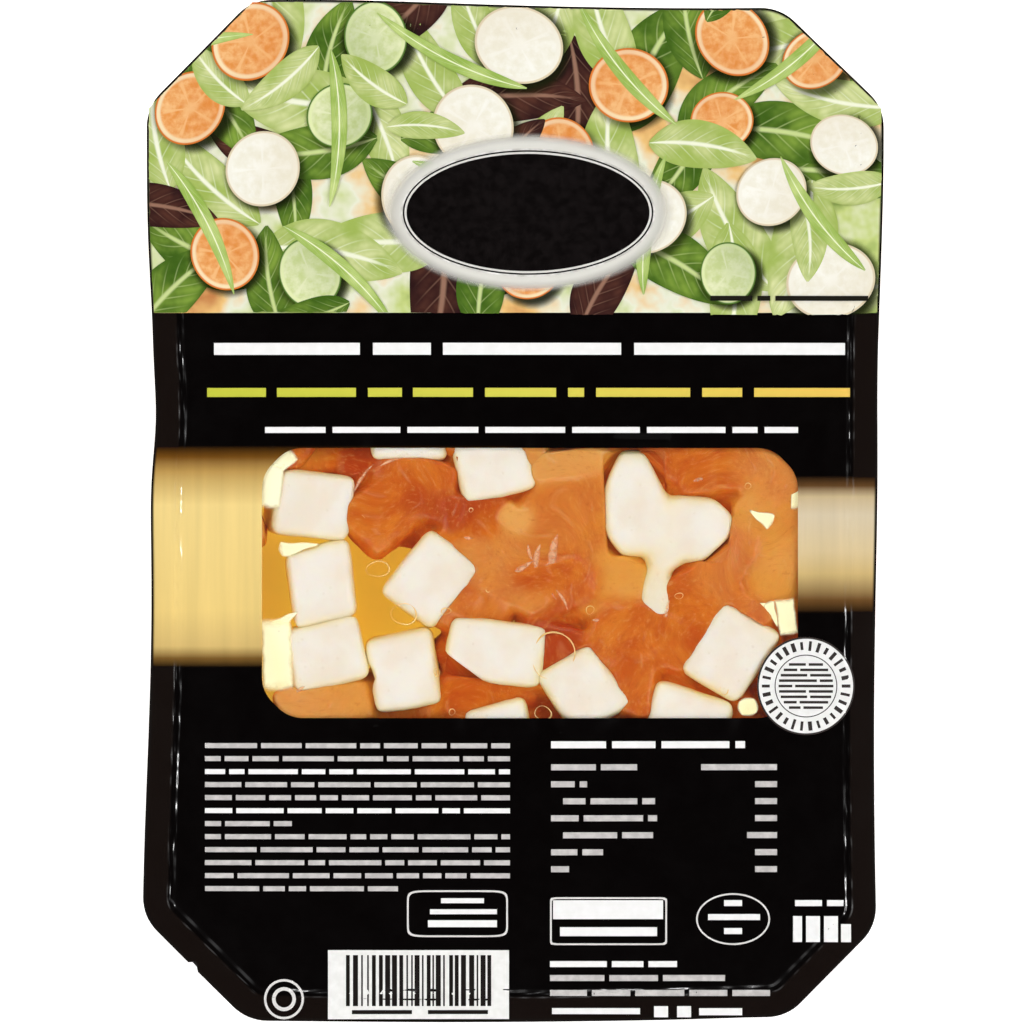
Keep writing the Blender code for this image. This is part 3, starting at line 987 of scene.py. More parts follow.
# Missing corners of single cubes: two pixels on the cut, walked with the
# cheese on the left hand, round nicks, and the cubes that are more melted than the rest
CORNER_CUTS = (
    ("cheese_06", 443, 650, 502, 696), ("cheese_07", 450, 484, 470, 505),
    ("cheese_10", 620, 452, 602, 488), ("cheese_10", 668, 496, 646, 452),
    ("cheese_10", 602, 530, 620, 554), ("cheese_11", 700, 566, 732, 536),
    ("cheese_11", 732, 514, 712, 495),
)
NICKS = {"cheese_05": (366, 676, 1.9), "cheese_01": (356, 500, 0.6), "cheese_03": (352, 612, 1.0)}
MELTED = ("cheese_10", "cheese_11")
# Melted bridges between them: pixel of the middle, half sizes, turn, drop in millimetres
BRIDGES = ((660, 520, 20, 30, 0, 0.1), (656, 604, 20, 52, -3, 0.25), (668, 556, 24, 16, 20, 0.15))


def make_cheese():
    """Every cheese cube, softened, a little uneven and pressed to the film."""
    cubes = []
    melted = []
    for number, node in enumerate(CUBE_NODES):
        cube = rounded_copy(node, f"cube_{number}")
        points = fit_top(points_of(cube), seen_limits(node))
        for cut_node, *line in CORNER_CUTS:
            if cut_node == node:
                points = cut_corner(points, *line)
        if node in NICKS:
            px, py, reach = NICKS[node]
            points = nick(points, at(px, py), reach * MM)
        put_points(cube, points)
        apply_modifier(cube, "SMOOTH", factor=0.5, iterations=3)
        press_to_film(cube, number)
        (melted if node in MELTED else cubes).append(cube)
    for px, py, half_x, half_y, turn, drop in BRIDGES:
        deselect()
        bpy.ops.mesh.primitive_uv_sphere_add(segments=24, ring_count=12, radius=1)
        blob = named("cheese_bridge")
        points = points_of(blob) * np.array([half_x * PIXEL, half_y * PIXEL, 4 * MM])
        c, s = math.cos(math.radians(turn)), math.sin(math.radians(turn))
        flat = points[:, :2] @ np.array([[c, s], [-s, c]]) + at(px, py)
        top = film_height(at(px, py)[None, :])[0] - drop * MM
        put_points(blob, np.column_stack([flat, np.minimum(points[:, 2] + top - 3 * MM, top)]))
        melted.append(blob)
    soft = join("melted_cubes", melted)
    apply_modifier(soft, "REMESH", mode="VOXEL", voxel_size=0.45 * MM)
    apply_modifier(soft, "SMOOTH", factor=0.5, iterations=30)
    points = points_of(soft)
    points[:, 2] = np.minimum(points[:, 2], film_height(points[:, :2]) - 0.04 * MM)
    put_points(soft, points)
    cheese = join("cheese_cubes", cubes + [soft])
    smooth(cheese)
    return dress(cheese, cheese_finish(), CUBE_NODES)


def press_to_film(cube, number):
    """Makes a cube uneven and stretches it up to the film."""
    points = points_of(cube)
    low, high = points[:, 2].min(), points[:, 2].max()
    away = points - points.mean(axis=0)
    away /= np.linalg.norm(away, axis=1)[:, None]
    away[:, 2] *= 0.25
    uneven = 0.35 if number < len(SEEN_CUBES) else 0.7
    pushes = []
    for point in points:
        place = Vector(point) / MM
        wide = noise.noise(place * 0.16 + Vector((number * 7.3, 0, 0)))
        pushes.append(uneven * wide + 0.1 * noise.noise(place * 0.8))
    points = points + away * np.array(pushes)[:, None] * MM
    film = film_height(points[:, :2])
    share = (points[:, 2] - low) / (high - low)
    points[:, 2] = np.minimum(low + share * (film + 0.02 * MM - low), film - 0.04 * MM)
    put_points(cube, points)


def cut_corner(points, px0, py0, px1, py1):
    """Pushes points back to the line between two pixels."""
    start, end = at(px0, py0), at(px1, py1)
    along = (end - start) / np.linalg.norm(end - start)
    outward = np.array([along[1], -along[0]])
    past = np.clip((points[:, :2] - start) @ outward, 0, None)
    points[:, :2] -= past[:, None] * outward
    return points


def nick(points, middle, reach):
    """Pushes points out of an upright round hole."""
    off = points[:, :2] - middle
    distance = np.linalg.norm(off, axis=1)
    inside = distance < reach
    points[inside, :2] = middle + off[inside] / distance[inside, None] * reach
    return points


# Salmon seen in the window: pixel of the centre, turn, length and width in
# millimetres, how deep its top lies under the film, and its tone from -1 for
# deep red to 1 for pale. The tone is partly the salmon's own colour; its deep
# red end is painted shade for pieces in deep, shadowed gaps
WINDOW_SALMON = (
    (318, 458, 5, 14, 6, 1.8, 0.3),
    (357, 459, 20, 8, 6, 1.2, -0.9),
    (415, 480, -12, 15, 9, 0.35, -0.1),
    (383, 515, 40, 13, 11, 0.3, 0.05),
    (425, 503, -10, 12, 6, 0.7, -0.7),
    (475, 512, 5, 12, 7, 0.6, -0.8),
    (516, 518, -30, 6, 4.5, 0.15, 0.8),
    (512, 560, -35, 19, 15, 0.25, 0.4),
    (478, 594, -30, 14, 10, 0.8, 0.3),
    (462, 600, 70, 11, 9, 0.8, 0.2),
    (446, 548, 40, 9, 6, 1.0, 0.1),
    (560, 500, 60, 16, 12, 0.7, 0.3),
    (572, 463, 8, 15, 6, 0.25, 0.65),
    (585, 530, 80, 15, 10, 0.6, 0.35),
    (556, 590, 20, 14, 10, 0.5, -0.15),
    (614, 588, 70, 13, 11, 1.2, 0.75),
    (668, 462, -6, 13, 7, 0.9, -0.4),
    (720, 466, 5, 16, 9, 0.5, 0.1),
    (770, 474, -30, 14, 10, 0.5, 0.4),
    (690, 486, 15, 9, 5, 1.4, 0.5),
    (762, 520, 70, 13, 11, 0.9, 0.65),
    (772, 575, 85, 15, 10, 1.1, 0.7),
    (800, 528, 85, 16, 7, 0.7, 0.5),
    (802, 470, 80, 12, 7, 0.7, 0.3),
    (725, 560, 60, 14, 10, 0.6, 0.3),
    (697, 600, 40, 16, 12, 0.35, 0.1),
    (655, 640, -15, 16, 11, 0.3, -0.05),
    (612, 640, 60, 13, 9, 0.5, 0.1),
    (634, 690, 85, 12, 7, 0.5, 0.1),
    (322, 705, 6, 17, 8, 0.4, 0.6),
    (490, 692, 8, 17, 9, 1.5, -0.3),
    (455, 705, -20, 10, 8, 1.0, 0.0),
    (553, 652, 0, 11, 10, 0.9, -1.0),
    (735, 612, -40, 12, 8, 0.7, 0.2),
    (705, 640, 30, 12, 8, 1.0, -0.1),
)
POOL_PX = (396, 604)
SALMON_DEPTH = 7.0 * MM
SALMON_SEED = 21
SALMON_SIDE_PIECES = 66
FUSED_VOXEL = 0.5 * MM
TOUCH = 0.5 * MM


def salmon_base(seed):
    """One torn, wet chunk: a block with pulled corners and soft layered sides."""
    rng = random.Random(seed)
    deselect()
    bpy.ops.mesh.primitive_cube_add(size=2)
    chunk = named(f"chunk_{seed}")
    bpy.ops.object.mode_set(mode="EDIT")
    bpy.ops.mesh.subdivide(number_cuts=2)
    bpy.ops.object.mode_set(mode="OBJECT")
    points = points_of(chunk)
    length = np.linalg.norm(points, axis=1)
    round_off = 1 - 0.16 * np.clip(length - 1.15, 0, None)
    points *= round_off[:, None]
    offset = Vector((rng.uniform(-50, 50), rng.uniform(-50, 50), rng.uniform(-50, 50)))
    pulls = [noise.noise_vector(Vector(p) * 0.9 + offset) for p in points]
    points += np.array([tuple(pull) for pull in pulls]) * 0.34
    put_points(chunk, points)
    subdivide(chunk, 2)
    return chunk


def write_looks(obj, grain, tone):
    """Stores the grain's own coordinates and the tone on the points."""
    made = obj.data.attributes.new("grain", "FLOAT_VECTOR", "POINT")
    made.data.foreach_set("vector", grain.astype(np.float32).ravel())
    made = obj.data.attributes.new("tone", "FLOAT", "POINT")
    made.data.foreach_set("value", tone.astype(np.float32))


def read_tone(obj):
    tone = np.empty(len(obj.data.vertices), np.float32)
    obj.data.attributes["tone"].data.foreach_get("value", tone)
    return tone


def place_chunk(base, name, middle, turn, size, tilt, seed, tone):
    """A copy of a chunk at its real size and place, with its own grain."""
    copy = base.copy()
    copy.data = base.data.copy()
    copy.name = name
    bpy.context.scene.collection.objects.link(copy)
    rng = random.Random(seed)
    points = points_of(copy) * np.array(size) / 2
    offset = Vector((rng.uniform(-90, 90), rng.uniform(-90, 90), rng.uniform(-90, 90)))
    pushes = []
    for point in points:
        place = Vector(point) / MM
        flake = noise.noise(Vector((place.x * 0.5, place.y * 0.16, place.z * 0.5)) + offset)
        small = noise.noise(place * 0.9 + offset)
        pushes.append(0.55 * flake + 0.16 * small)
    away = points / (np.linalg.norm(points, axis=1)[:, None] + 1e-9)
    points = points + away * np.array(pushes)[:, None] * MM
    write_looks(copy, points / MM + np.array(offset), np.full(len(points), tone))
    c, s = math.cos(turn), math.sin(turn)
    points[:, 2] += points[:, 0] * tilt[0] + points[:, 1] * tilt[1]
    x = points[:, 0] * c - points[:, 1] * s + middle[0]
    y = points[:, 0] * s + points[:, 1] * c + middle[1]
    put_points(copy, np.column_stack([x, y, points[:, 2] + middle[2]]))
    return copy


def press_in(points):
    """Presses soft pieces off the cubes, the tray's wall, its floor and the film."""
    for middle, axes, half, _ in CUBES:
        local = (points[:, :2] - middle) @ axes.T
        past = np.abs(local) - (half - TOUCH)
        inside = (past < 0).all(axis=1)
        nearer = past[:, 0] > past[:, 1]
        for axis, chosen in ((0, inside & nearer), (1, inside & ~nearer)):
            side = np.where(local[chosen, axis] < 0, -1, 1)
            local[chosen, axis] = side * (half[axis] - TOUCH)
            points[chosen, 2] += np.clip(past[chosen, axis] * 0.4, -0.3 * MM, 0)
        points[inside, :2] = (local @ axes)[inside] + middle
    height = points[:, 2] / MM
    wall = np.interp(height, [0.6, 1.6, 3.6, 9.2], [8.1, 6.3, 5.6, 4.4]) * MM
    short = np.clip(wall - inset_of(unsettle(points[:, :2])), 0, None)
    inward = -points[:, :2] / np.array([PACK_WIDTH, PACK_LENGTH])
    inward /= np.linalg.norm(inward, axis=1)[:, None] + 1e-9
    points[:, :2] += inward * short[:, None] * 1.2
    top = film_height(points[:, :2]) - 0.1 * MM
    over = np.clip(points[:, 2] - top, 0, None)
    points[:, 2] = np.minimum(points[:, 2], top - over * 0.04)
    points[:, 2] = np.maximum(points[:, 2], WALL + 0.1 * MM)
    return points


def window_chunks(bases):
    """The pieces that show in the window, and a deeper bed that fills between them."""
    rng = random.Random(SALMON_SEED)
    rows = list(WINDOW_SALMON)
    for row in range(6):
        for column in range(10):
            px = 310 + column * 54 + rng.uniform(-12, 12) + 27 * (row % 2)
            py = 440 + row * 54 + rng.uniform(-12, 12)
            near_pool = math.hypot(px - POOL_PX[0], (py - POOL_PX[1]) * 1.15) < 92
            if not near_pool and (px > 350 or not 480 < py < 665):
                depth = rng.uniform(2.2, 3.2)
                tone = rng.uniform(-0.4, 0.3)
                rows.append((px, py, rng.uniform(0, 180), 14, 11, depth, tone))
    chunks = []
    for px, py, turn, length, width, depth, tone in rows:
        middle = at(px, py)
        top = film_height(middle[None, :])[0] - depth * MM
        size = (length * MM, width * MM, SALMON_DEPTH)
        place = (*middle, top - 0.45 * SALMON_DEPTH)
        tilt = (rng.uniform(-0.06, 0.06), rng.uniform(-0.06, 0.06))
        seed = rng.randrange(10000)
        base = bases[len(chunks) % len(bases)]
        name = f"salmon_{len(chunks)}"
        chunks.append(place_chunk(base, name, place, math.radians(turn), size, tilt, seed, tone))
    return chunks


def side_chunks(bases):
    """The pieces under the print, by a seeded rule."""
    rng = random.Random(SALMON_SEED + 1)
    cube_places = [cube[0] for cube in CUBES]
    places = []
    chunks = []
    while len(chunks) < SALMON_SIDE_PIECES:
        low = len(chunks) > 40
        place = np.array([rng.uniform(-53, 53), rng.uniform(-76, 76)]) * MM
        off_window = (np.abs(place - WINDOW_MIDDLE) - WINDOW_HALF).max()
        if inset_of(place[None, :])[0] < 8.6 * MM or off_window < 3 * MM:
            continue
        if not low and any(np.linalg.norm(place - other) < 9.4 * MM for other in places):
            continue
        if min(np.linalg.norm(place - p) for p in cube_places) < (6.6 if low else 7.4) * MM:
            continue
        places.append(place)
        size = (rng.uniform(11, 17) * MM, rng.uniform(8, 12) * MM, rng.uniform(5.5, 7.5) * MM)
        top = film_height(place[None, :])[0] - rng.uniform(0.3, 1.8) * MM
        centre = 3.6 * MM if low else top - 0.45 * size[2]
        tilt = (rng.uniform(-0.15, 0.15), rng.uniform(-0.15, 0.15))
        turn = rng.uniform(0, math.pi)
        tone = rng.uniform(-0.3, 0.5)
        seed = rng.randrange(10000)
        base = bases[len(chunks) % len(bases)]
        name = f"side_salmon_{len(chunks)}"
        chunks.append(place_chunk(base, name, (*place, centre), turn, size, tilt, seed, tone))
    return chunks


def blurred(obj, values, rounds):
    """Values on the points, evened out along the edges."""
    ends = np.empty(len(obj.data.edges) * 2, np.int32)
    obj.data.edges.foreach_get("vertices", ends)
    first, second = ends.reshape(-1, 2).T
    count = np.bincount(first, minlength=len(values)) + np.bincount(second, minlength=len(values))
    for _ in range(rounds):
        total = np.bincount(first, values[second], len(values))
        total += np.bincount(second, values[first], len(values))
        values = 0.4 * values + 0.6 * total / np.maximum(count, 1)
    return values


def make_salmon():
    """Salmon pieces: fused softly where the window shows them, loose round about."""
    bases = [salmon_base(seed) for seed in range(40, 46)]
    finish = salmon_finish()
    sides = join("salmon_sides", side_chunks(bases))
    put_points(sides, press_in(points_of(sides)))
    smooth(sides)
    dress(sides, finish, ["salmon_heap"])
    heap = join("salmon_window", window_chunks(bases))
    tone = read_tone(heap)
    before = points_of(heap)
    tree = KDTree(len(before))
    for number, point in enumerate(before):
        tree.insert(point, number)
    tree.balance()
    apply_modifier(heap, "REMESH", mode="VOXEL", voxel_size=FUSED_VOXEL)
    nearest = [tree.find(point)[1] for point in points_of(heap)]
    for name in ("grain", "tone"):
        if name in heap.data.attributes:
            heap.data.attributes.remove(heap.data.attributes[name])
    points = points_of(heap)
    warp = [tuple(noise.noise_vector(Vector(point) / (9 * MM))) for point in points]
    write_looks(heap, points / MM + np.array(warp) * 6, blurred(heap, tone[nearest], 14))
    apply_modifier(heap, "SMOOTH", factor=0.5, iterations=5)
    put_points(heap, press_in(points_of(heap)))
    apply_modifier(heap, "SMOOTH", factor=0.5, iterations=1)
    smooth(heap)
    dress(heap, finish, ["salmon_heap"])
    for base in bases:
        bpy.data.objects.remove(base, do_unlink=True)


# Pale streaks on the salmon: pixel of the centre, turn, length, width in pixels
PALE_STREAKS = (
    (538, 557, 80, 26, 8), (555, 552, 82, 36, 11), (548, 568, 60, 18, 7),
    (522, 570, 38, 28, 8), (511, 580, 20, 16, 7), (530, 552, 105, 16, 5),
    (545, 590, -40, 30, 4), (562, 600, -60, 24, 4), (472, 541, -25, 18, 6),
    (478, 553, 70, 12, 6), (364, 478, 55, 34, 4), (392, 462, 20, 26, 4),
    (600, 622, -15, 16, 5), (668, 610, 80, 22, 4), (722, 580, 65, 16, 4),
    (700, 480, 10, 14, 5), (300, 690, 35, 12, 5), (660, 633, -70, 22, 4),
)


def make_pale_streaks():
    """Thin pale streaks lying on the salmon, just under the film."""
    shapes = []
    for px, py, turn, length, width in PALE_STREAKS:
        half = (length * PIXEL / 2, width * PIXEL / 2)
        shapes.append(px_shape("leaf", px, py, *half, math.radians(turn)))
    paint = Paint("pale salmon streak")
    through = paint.node("ShaderNodeBsdfTransparent", None, {"Color": (1, 1, 1, 1)})
    pale = paint.surface(Base_Color=rgb(250, 200, 160), Roughness=0.4, Specular_IOR_Level=0.1)
    broken = paint.noise(paint.places(1000), 1.3, 3)
    uv = paint.node("ShaderNodeUVMap", {"uv_map": "UVMap"})
    u, v, w = paint.split(uv)
    side = abs(v - 0.5) * 2
    share = paint.between(broken, 0.3, 0.65, 0.15, 0.6) * paint.between(side, 1.0, 0.2)
    finish = paint.finish(paint.node("ShaderNodeMixShader", None, {0: share, 1: through, 2: pale}))
    under_film("salmon_pale_streaks", shapes, finish, -0.15 * MM, 0.3 * MM)


def under_film(name, shapes, finish, lift, cell):
    """Thin closed flakes that lie just below the film's underside."""
    obj = flat_patches(name, shapes, cell, ())
    points = points_of(obj)
    points[:, 2] += film_height(points[:, :2]) + lift
    put_points(obj, points)
    face_up(obj)
    apply_modifier(obj, "SOLIDIFY", thickness=0.05 * MM, offset=-1)
    smooth(obj, 50)
    return dress(obj, finish)


# Bright patches painted along the window's rim and between the cubes, for the
# cubes' lit sides and for glints: form, middle, half sizes, turn
PAINTED_LIGHT_PATCHES = (
    ("bar", 272, 486, 11, 24, -6), ("bar", 281, 463, 9, 17, -50), ("bar", 277, 655, 16, 37, 2),
    ("wedge", 286, 620, 15, 9, 35), ("wedge", 299, 547, 21, 9, 8), ("wedge", 761, 517, 14, 10, 150),
    ("bar", 787, 617, 10, 19, 8), ("wedge", 773, 614, 14, 7, -70), ("leaf", 760, 608, 10, 4, 20),
    ("disc", 748, 707, 11, 10, 10), ("bar", 795, 490, 4, 20, 0),
)


LIGHT_PATCH_STEP = 0.02 * MM


def make_painted_light_patches():
    """Painted light: bright, faintly glowing patches along the window's rim, for the cubes' lit sides and glints.
    """
    shapes = []
    for number, (form, px, py, half_x, half_y, turn) in enumerate(PAINTED_LIGHT_PATCHES):
        level = -number * LIGHT_PATCH_STEP
        half = (half_x * PIXEL, half_y * PIXEL)
        shapes.append(px_shape(form, px, py, *half, math.radians(turn), level))
    paint = Paint("painted light patch")
    through = paint.node("ShaderNodeBsdfTransparent", None, {"Color": (1, 1, 1, 1)})
    uv = paint.node("ShaderNodeUVMap", {"uv_map": "UVMap"})
    u, v, w = paint.split(uv)
    sides = {0: abs(u - 0.5) * 2, 1: abs(v - 0.5) * 2}
    reach = paint.node("ShaderNodeMath", {"operation": "MAXIMUM"}, sides)
    patchy = paint.noise(paint.places(1000), 0.5, 3)
    # Painted light: a pale colour with a faint glow of its own, though no lamp is there
    pale = paint.surface(
        Base_Color=rgb(255, 252, 222), Roughness=0.25,
        Emission_Color=rgb(255, 246, 196), Emission_Strength=0.14,
    )
    share = paint.between(reach + patchy * 0.3, 1.16, 0.85) * 0.95
    finish = paint.finish(paint.node("ShaderNodeMixShader", None, {0: share, 1: through, 2: pale}))
    under_film("painted_light_patches", shapes, finish, -0.15 * MM, 0.5 * MM)


# Air bubbles under the film, drawn only as pale rings that are painted highlights on their rims: pixel of the
# centre, half sizes and line in pixels
BUBBLE_HIGHLIGHTS = (
    (359, 520, 6, 5, 1.3), (378, 569, 11, 8, 1.3), (404, 614, 12, 11, 1.2), (543, 713, 8, 7, 1.3),
    (553, 655, 21, 23, 1.5), (446, 611, 5, 3, 1.0), (437, 672, 3, 4, 0.8), (700, 512, 4, 3, 0.8),
    (590, 610, 4, 4, 0.8), (724, 690, 4, 5, 0.8), (452, 712, 3, 3, 0.8), (471, 510, 2, 2, 0.8),
    (679, 596, 4, 3, 0.8), (748, 486, 3, 3, 0.8), (495, 571, 3, 2, 0.8), (488, 590, 2, 2, 0.8),
)


def make_bubble_highlights():
    """Pale rings on the rims of the flat air bubbles pressed under the film: painted highlights."""
    bubbles = []
    for px, py, half_x, half_y, line in BUBBLE_HIGHLIGHTS:
        deselect()
        bpy.ops.mesh.primitive_torus_add(
            major_segments=40, minor_segments=8, major_radius=1, minor_radius=0.1
        )
        bubble = named(f"bubble_{len(bubbles)}")
        points = points_of(bubble)
        turn = np.arctan2(points[:, 1], points[:, 0])
        reach = np.hypot(points[:, 0], points[:, 1])
        uneven = 1 + 0.06 * np.sin(2 * turn + px) + 0.04 * np.sin(3 * turn + py)
        thick = line * PIXEL * (0.75 + 0.45 * np.sin(turn + px))
        along = np.stack([np.cos(turn) * half_x, np.sin(turn) * half_y], axis=1) * PIXEL
        outward = np.stack([np.cos(turn), np.sin(turn)], axis=1)
        flat = along * uneven[:, None] + outward * ((reach - 1) * 5 * thick)[:, None]
        points = np.column_stack([flat + at(px, py), points[:, 2] * 4 * thick])
        top = film_height(points[:, :2]) - 0.22 * MM
        points[:, 2] += top
        put_points(bubble, points)
        bubbles.append(bubble)
    made = join("bubble_rim_highlights", bubbles)
    smooth(made)
    paint = Paint("painted bubble rim highlight")
    # Painted highlight: a pale amber ring stands in for the light caught at each bubble's rim
    skin = paint.surface(Base_Color=rgb(250, 206, 130), Roughness=0.2)
    return dress(made, paint.finish(skin))


# Printed marks: thin patches of ink laid on the film

def flat_patches(name, shapes, cell, cuts):
    """Many flat patches in one piece. A shape is (form, x, y, turn, half length,
    half width, level), in metres and radians; level lifts one over another."""
    deselect()
    bpy.ops.mesh.primitive_grid_add(x_subdivisions=1, y_subdivisions=1, size=2)
    obj = named(name)
    bpy.ops.object.mode_set(mode="EDIT")
    bpy.ops.mesh.delete(type="VERT")
    for form, x, y, turn, half_x, half_y, level in shapes:
        along = max(1, math.ceil(2 * half_x / cell))
        if form.startswith("ring"):
            along = max(24, math.ceil(6 * half_x / cell))
            wide = 1
        else:
            wide = max(1, math.ceil(2 * half_y / cell))
        if form in ("disc", "leaf", "wedge"):
            along, wide = max(8, along), max(8, wide)
        bpy.ops.mesh.primitive_grid_add(x_subdivisions=along, y_subdivisions=wide, size=2)
        bm = bmesh.from_edit_mesh(obj.data)
        for vert in bm.verts:
            if vert.select:
                u, v = FORMS[form](vert.co.x, vert.co.y, half_x, half_y)
                c, s = math.cos(turn), math.sin(turn)
                vert.co = (u * c - v * s + x, u * s + v * c + y, level)
        bmesh.update_edit_mesh(obj.data)
    bpy.ops.mesh.select_all(action="SELECT")
    bpy.ops.mesh.remove_doubles(threshold=0.004 * MM)
    for origin, normal in cuts:
        bpy.ops.mesh.select_all(action="SELECT")
        bpy.ops.mesh.bisect(plane_co=(*origin, 0), plane_no=(*normal, 0), clear_outer=True)
    bpy.ops.object.mode_set(mode="OBJECT")
    return obj


def patches(name, shapes, material, lift=INK_LIFT, cell=0.9 * MM, cuts=(), settled=False):
    """One piece of thin ink patches laid on the printed film."""
    obj = flat_patches(name, shapes, cell, cuts)
    lay_on(bpy.data.objects["printed_film"], obj, lift, settled)
    face_up(obj)
    apply_modifier(obj, "SOLIDIFY", thickness=INK_THICK, offset=-1)
    return dress(obj, material)


def form_bar(u, v, half_x, half_y):
    return u * half_x, v * half_y


def form_disc(u, v, half_x, half_y):
    return u * math.sqrt(1 - v * v / 2) * half_x, v * math.sqrt(1 - u * u / 2) * half_y


def form_leaf(u, v, half_x, half_y):
    width = max(0.03, 1 - abs(u) ** 2.2) ** 0.75 * (1 - 0.22 * u)
    return u * half_x, v * half_y * width + 0.12 * half_x * (1 - u * u)


def form_wedge(u, v, half_x, half_y):
    """A long drop, blunt at its left end and pointed at its right."""
    width = (1 - u) / 2 * max(0.0, 1 - u ** 8) ** 0.5 + 0.05
    return u * half_x, (v + 0.15 * math.sin(4 * u)) * half_y * width


def form_ring(u, v, half_x, half_y):
    """Round ring: half_y is the line's width as a share of the radius."""
    angle = math.pi * (u + 1)
    reach = half_x * (1 - half_y * (v + 1) / 2)
    return reach * math.cos(angle), reach * math.sin(angle)


def boxed_ring(power, ratio):
    """A ring on a rounded box, as much lower than wide as ratio says."""

    def form(u, v, half_x, half_y):
        angle = math.pi * (u + 1)
        c, s = math.cos(angle), math.sin(angle)
        bulge = (abs(c) ** power + abs(s) ** power) ** (-1 / power)
        inner = half_y * half_x * (v + 1) / 2
        x = c * bulge * (half_x - inner)
        y = s * bulge * (half_x * ratio - inner)
        return x, y

    return form


FORMS = {
    "bar": form_bar,
    "disc": form_disc,
    "leaf": form_leaf,
    "wedge": form_wedge,
    "ring": form_ring,
    "ring_phone": boxed_ring(9, 0.465),
    "ring_firm": boxed_ring(30, 0.41),
    "ring_oval": boxed_ring(2, 0.7),
}


def px_bar(x0, y0, x1, y1, level=0.0):
    """A bar between two corners given as pixels of the photo."""
    low = at(x0, y1)
    high = at(x1, y0)
    middle = (low + high) / 2
    half = (high - low) / 2
    return ("bar", middle[0], middle[1], 0.0, half[0], half[1], level)


def px_shape(form, px, py, half_x, half_y, turn=0.0, level=0.0):
    middle = at(px, py)
    return (form, middle[0], middle[1], turn, half_x, half_y, level)


def word_bars(rng, x0, x1, y0, y1, mean, gap, level=0.0):
    """A row of bars as long as words between x0 and x1."""
    bars = []
    x = x0
    while x < x1 - 4:
        width = mean * rng.uniform(0.45, 1.6)
        end = min(x + width, x1)
        if x1 - end < gap + 5:
            end = x1
        bars.append(px_bar(x, y0, end, y1, level))
        x = end + gap
    return bars


def make_lines():
    """Plain bars where the real pack carries words."""
    rng = random.Random(5)
    title = [px_bar(x0, 343, x1, 355) for x0, x1 in ((214, 360), (373, 431), (443, 621), (634, 845))]
    second = ((207, 266), (277, 356), (368, 402), (413, 473), (485, 556), (568, 584), (596, 690), (702, 742), (754, 850))
    gold = [px_bar(x0, 388, x1, 397) for x0, x1 in second]
    third = word_bars(rng, 265, 798, 427, 433, 52, 7)
    white = title + third
    grey = []
    for row in range(12):
        y = 743 + row * 13.0
        end = 510 if row not in (6, 11) else (292 if row == 6 else 398)
        target = white if row in (2, 5) else grey
        target += word_bars(rng, 205, end, y, y + 5, 34, 4)
    white += word_bars(rng, 551, 745, 741, 748, 60, 6)
    widths = (86, 36, 104, 106, 102, 52, 18)
    for row, width in enumerate(widths):
        y = 764 + row * 17
        start = 551 if row not in (2, 4) else 563
        grey += word_bars(rng, start, 551 + width, y, y + 6, 46, 5)
        value = 76 if row == 0 else (22 if row != 4 else 30)
        grey.append(px_bar(777 - value, y, 777, y + 6))
    white += [px_bar(441, 898, 484, 903), px_bar(430, 909, 497, 914), px_bar(428, 920, 497, 927)]
    white += [px_bar(553, 900, 663, 919), px_bar(560, 927, 657, 936)]
    white += [px_bar(724, 900, 742, 906), px_bar(708, 914, 760, 920), px_bar(724, 928, 742, 934)]
    white += [px_bar(795, 900, 822, 906), px_bar(827, 900, 847, 906)]
    white += [px_bar(793, 916, 802, 942), px_bar(806, 916, 820, 942), px_bar(824, 916, 838, 942)]
    white += [px_bar(841, 924, 851, 942)]
    white += word_bars(rng, 550, 677, 961, 967, 40, 5)
    grey += word_bars(rng, 550, 725, 975, 981, 34, 5)
    grey += word_bars(rng, 550, 770, 990, 996, 38, 5)
    white += [px_bar(552, 1008, 640, 1014), px_bar(654, 1006, 668, 1017)]
    white += [px_bar(677, 1006, 691, 1017), px_bar(699, 1008, 742, 1015)]
    patches("white_lines", white, ink("white ink", rgb(244, 243, 241), rgb(249, 248, 247)))
    patches("grey_lines", grey, ink("grey ink", rgb(188, 184, 182), rgb(212, 208, 205)))
    patches("gold_lines", gold, gold_ink())
    thin = [
        px_shape("ring_phone", 457.5, 913.5, 50.5 * PIXEL, 0.035),
        px_shape("ring_firm", 608.5, 921, 58.5 * PIXEL, 0.03),
        px_shape("ring_oval", 733, 919, 37 * PIXEL, 0.045),
        px_shape("ring", 284, 999, 20 * PIXEL, 0.12),
        px_shape("ring", 284, 999, 12 * PIXEL, 0.3),
    ]
    patches("thin_outlines", thin, ink("outline ink", rgb(226, 223, 220)), cell=0.5 * MM)


def gold_ink():
    """Ink that runs from yellow-green on the left to warm gold on the right."""
    paint = Paint("gold ink")
    x, y, z = paint.split(paint.places(1000))
    share = (x + 52) / 108
    colour = paint.ramp(share, [(0.0, rgb(196, 200, 66)), (0.5, rgb(214, 208, 84)), (1.0, rgb(236, 196, 92))])
    return paint.finish(paint.surface(Base_Color=colour, Roughness=0.22, Specular_IOR_Level=0.12, Coat_Weight=0.4))


def make_bar_block():
    """White panel with generic upright bars."""
    rng = random.Random(12)
    panel = [px_bar(328, 950, 509, 1019)]
    patches("bar_panel", panel, ink("panel ink", rgb(238, 237, 233), rgb(247, 246, 243)))
    bars = []
    x = 346
    while x < 494:
        width = rng.choice((1.6, 1.6, 2.6, 3.8, 5.0))
        bars.append(px_bar(x, 955, x + width, 1006, INK_THICK))
        x += width + rng.choice((1.8, 2.4, 3.2, 4.4))
    bars += [px_bar(x0, 1010, x0 + 60, 1014, INK_THICK) for x0 in (352, 428)]
    patches("upright_bars", bars, ink("bar ink", rgb(30, 26, 24)), cell=1.2 * MM)


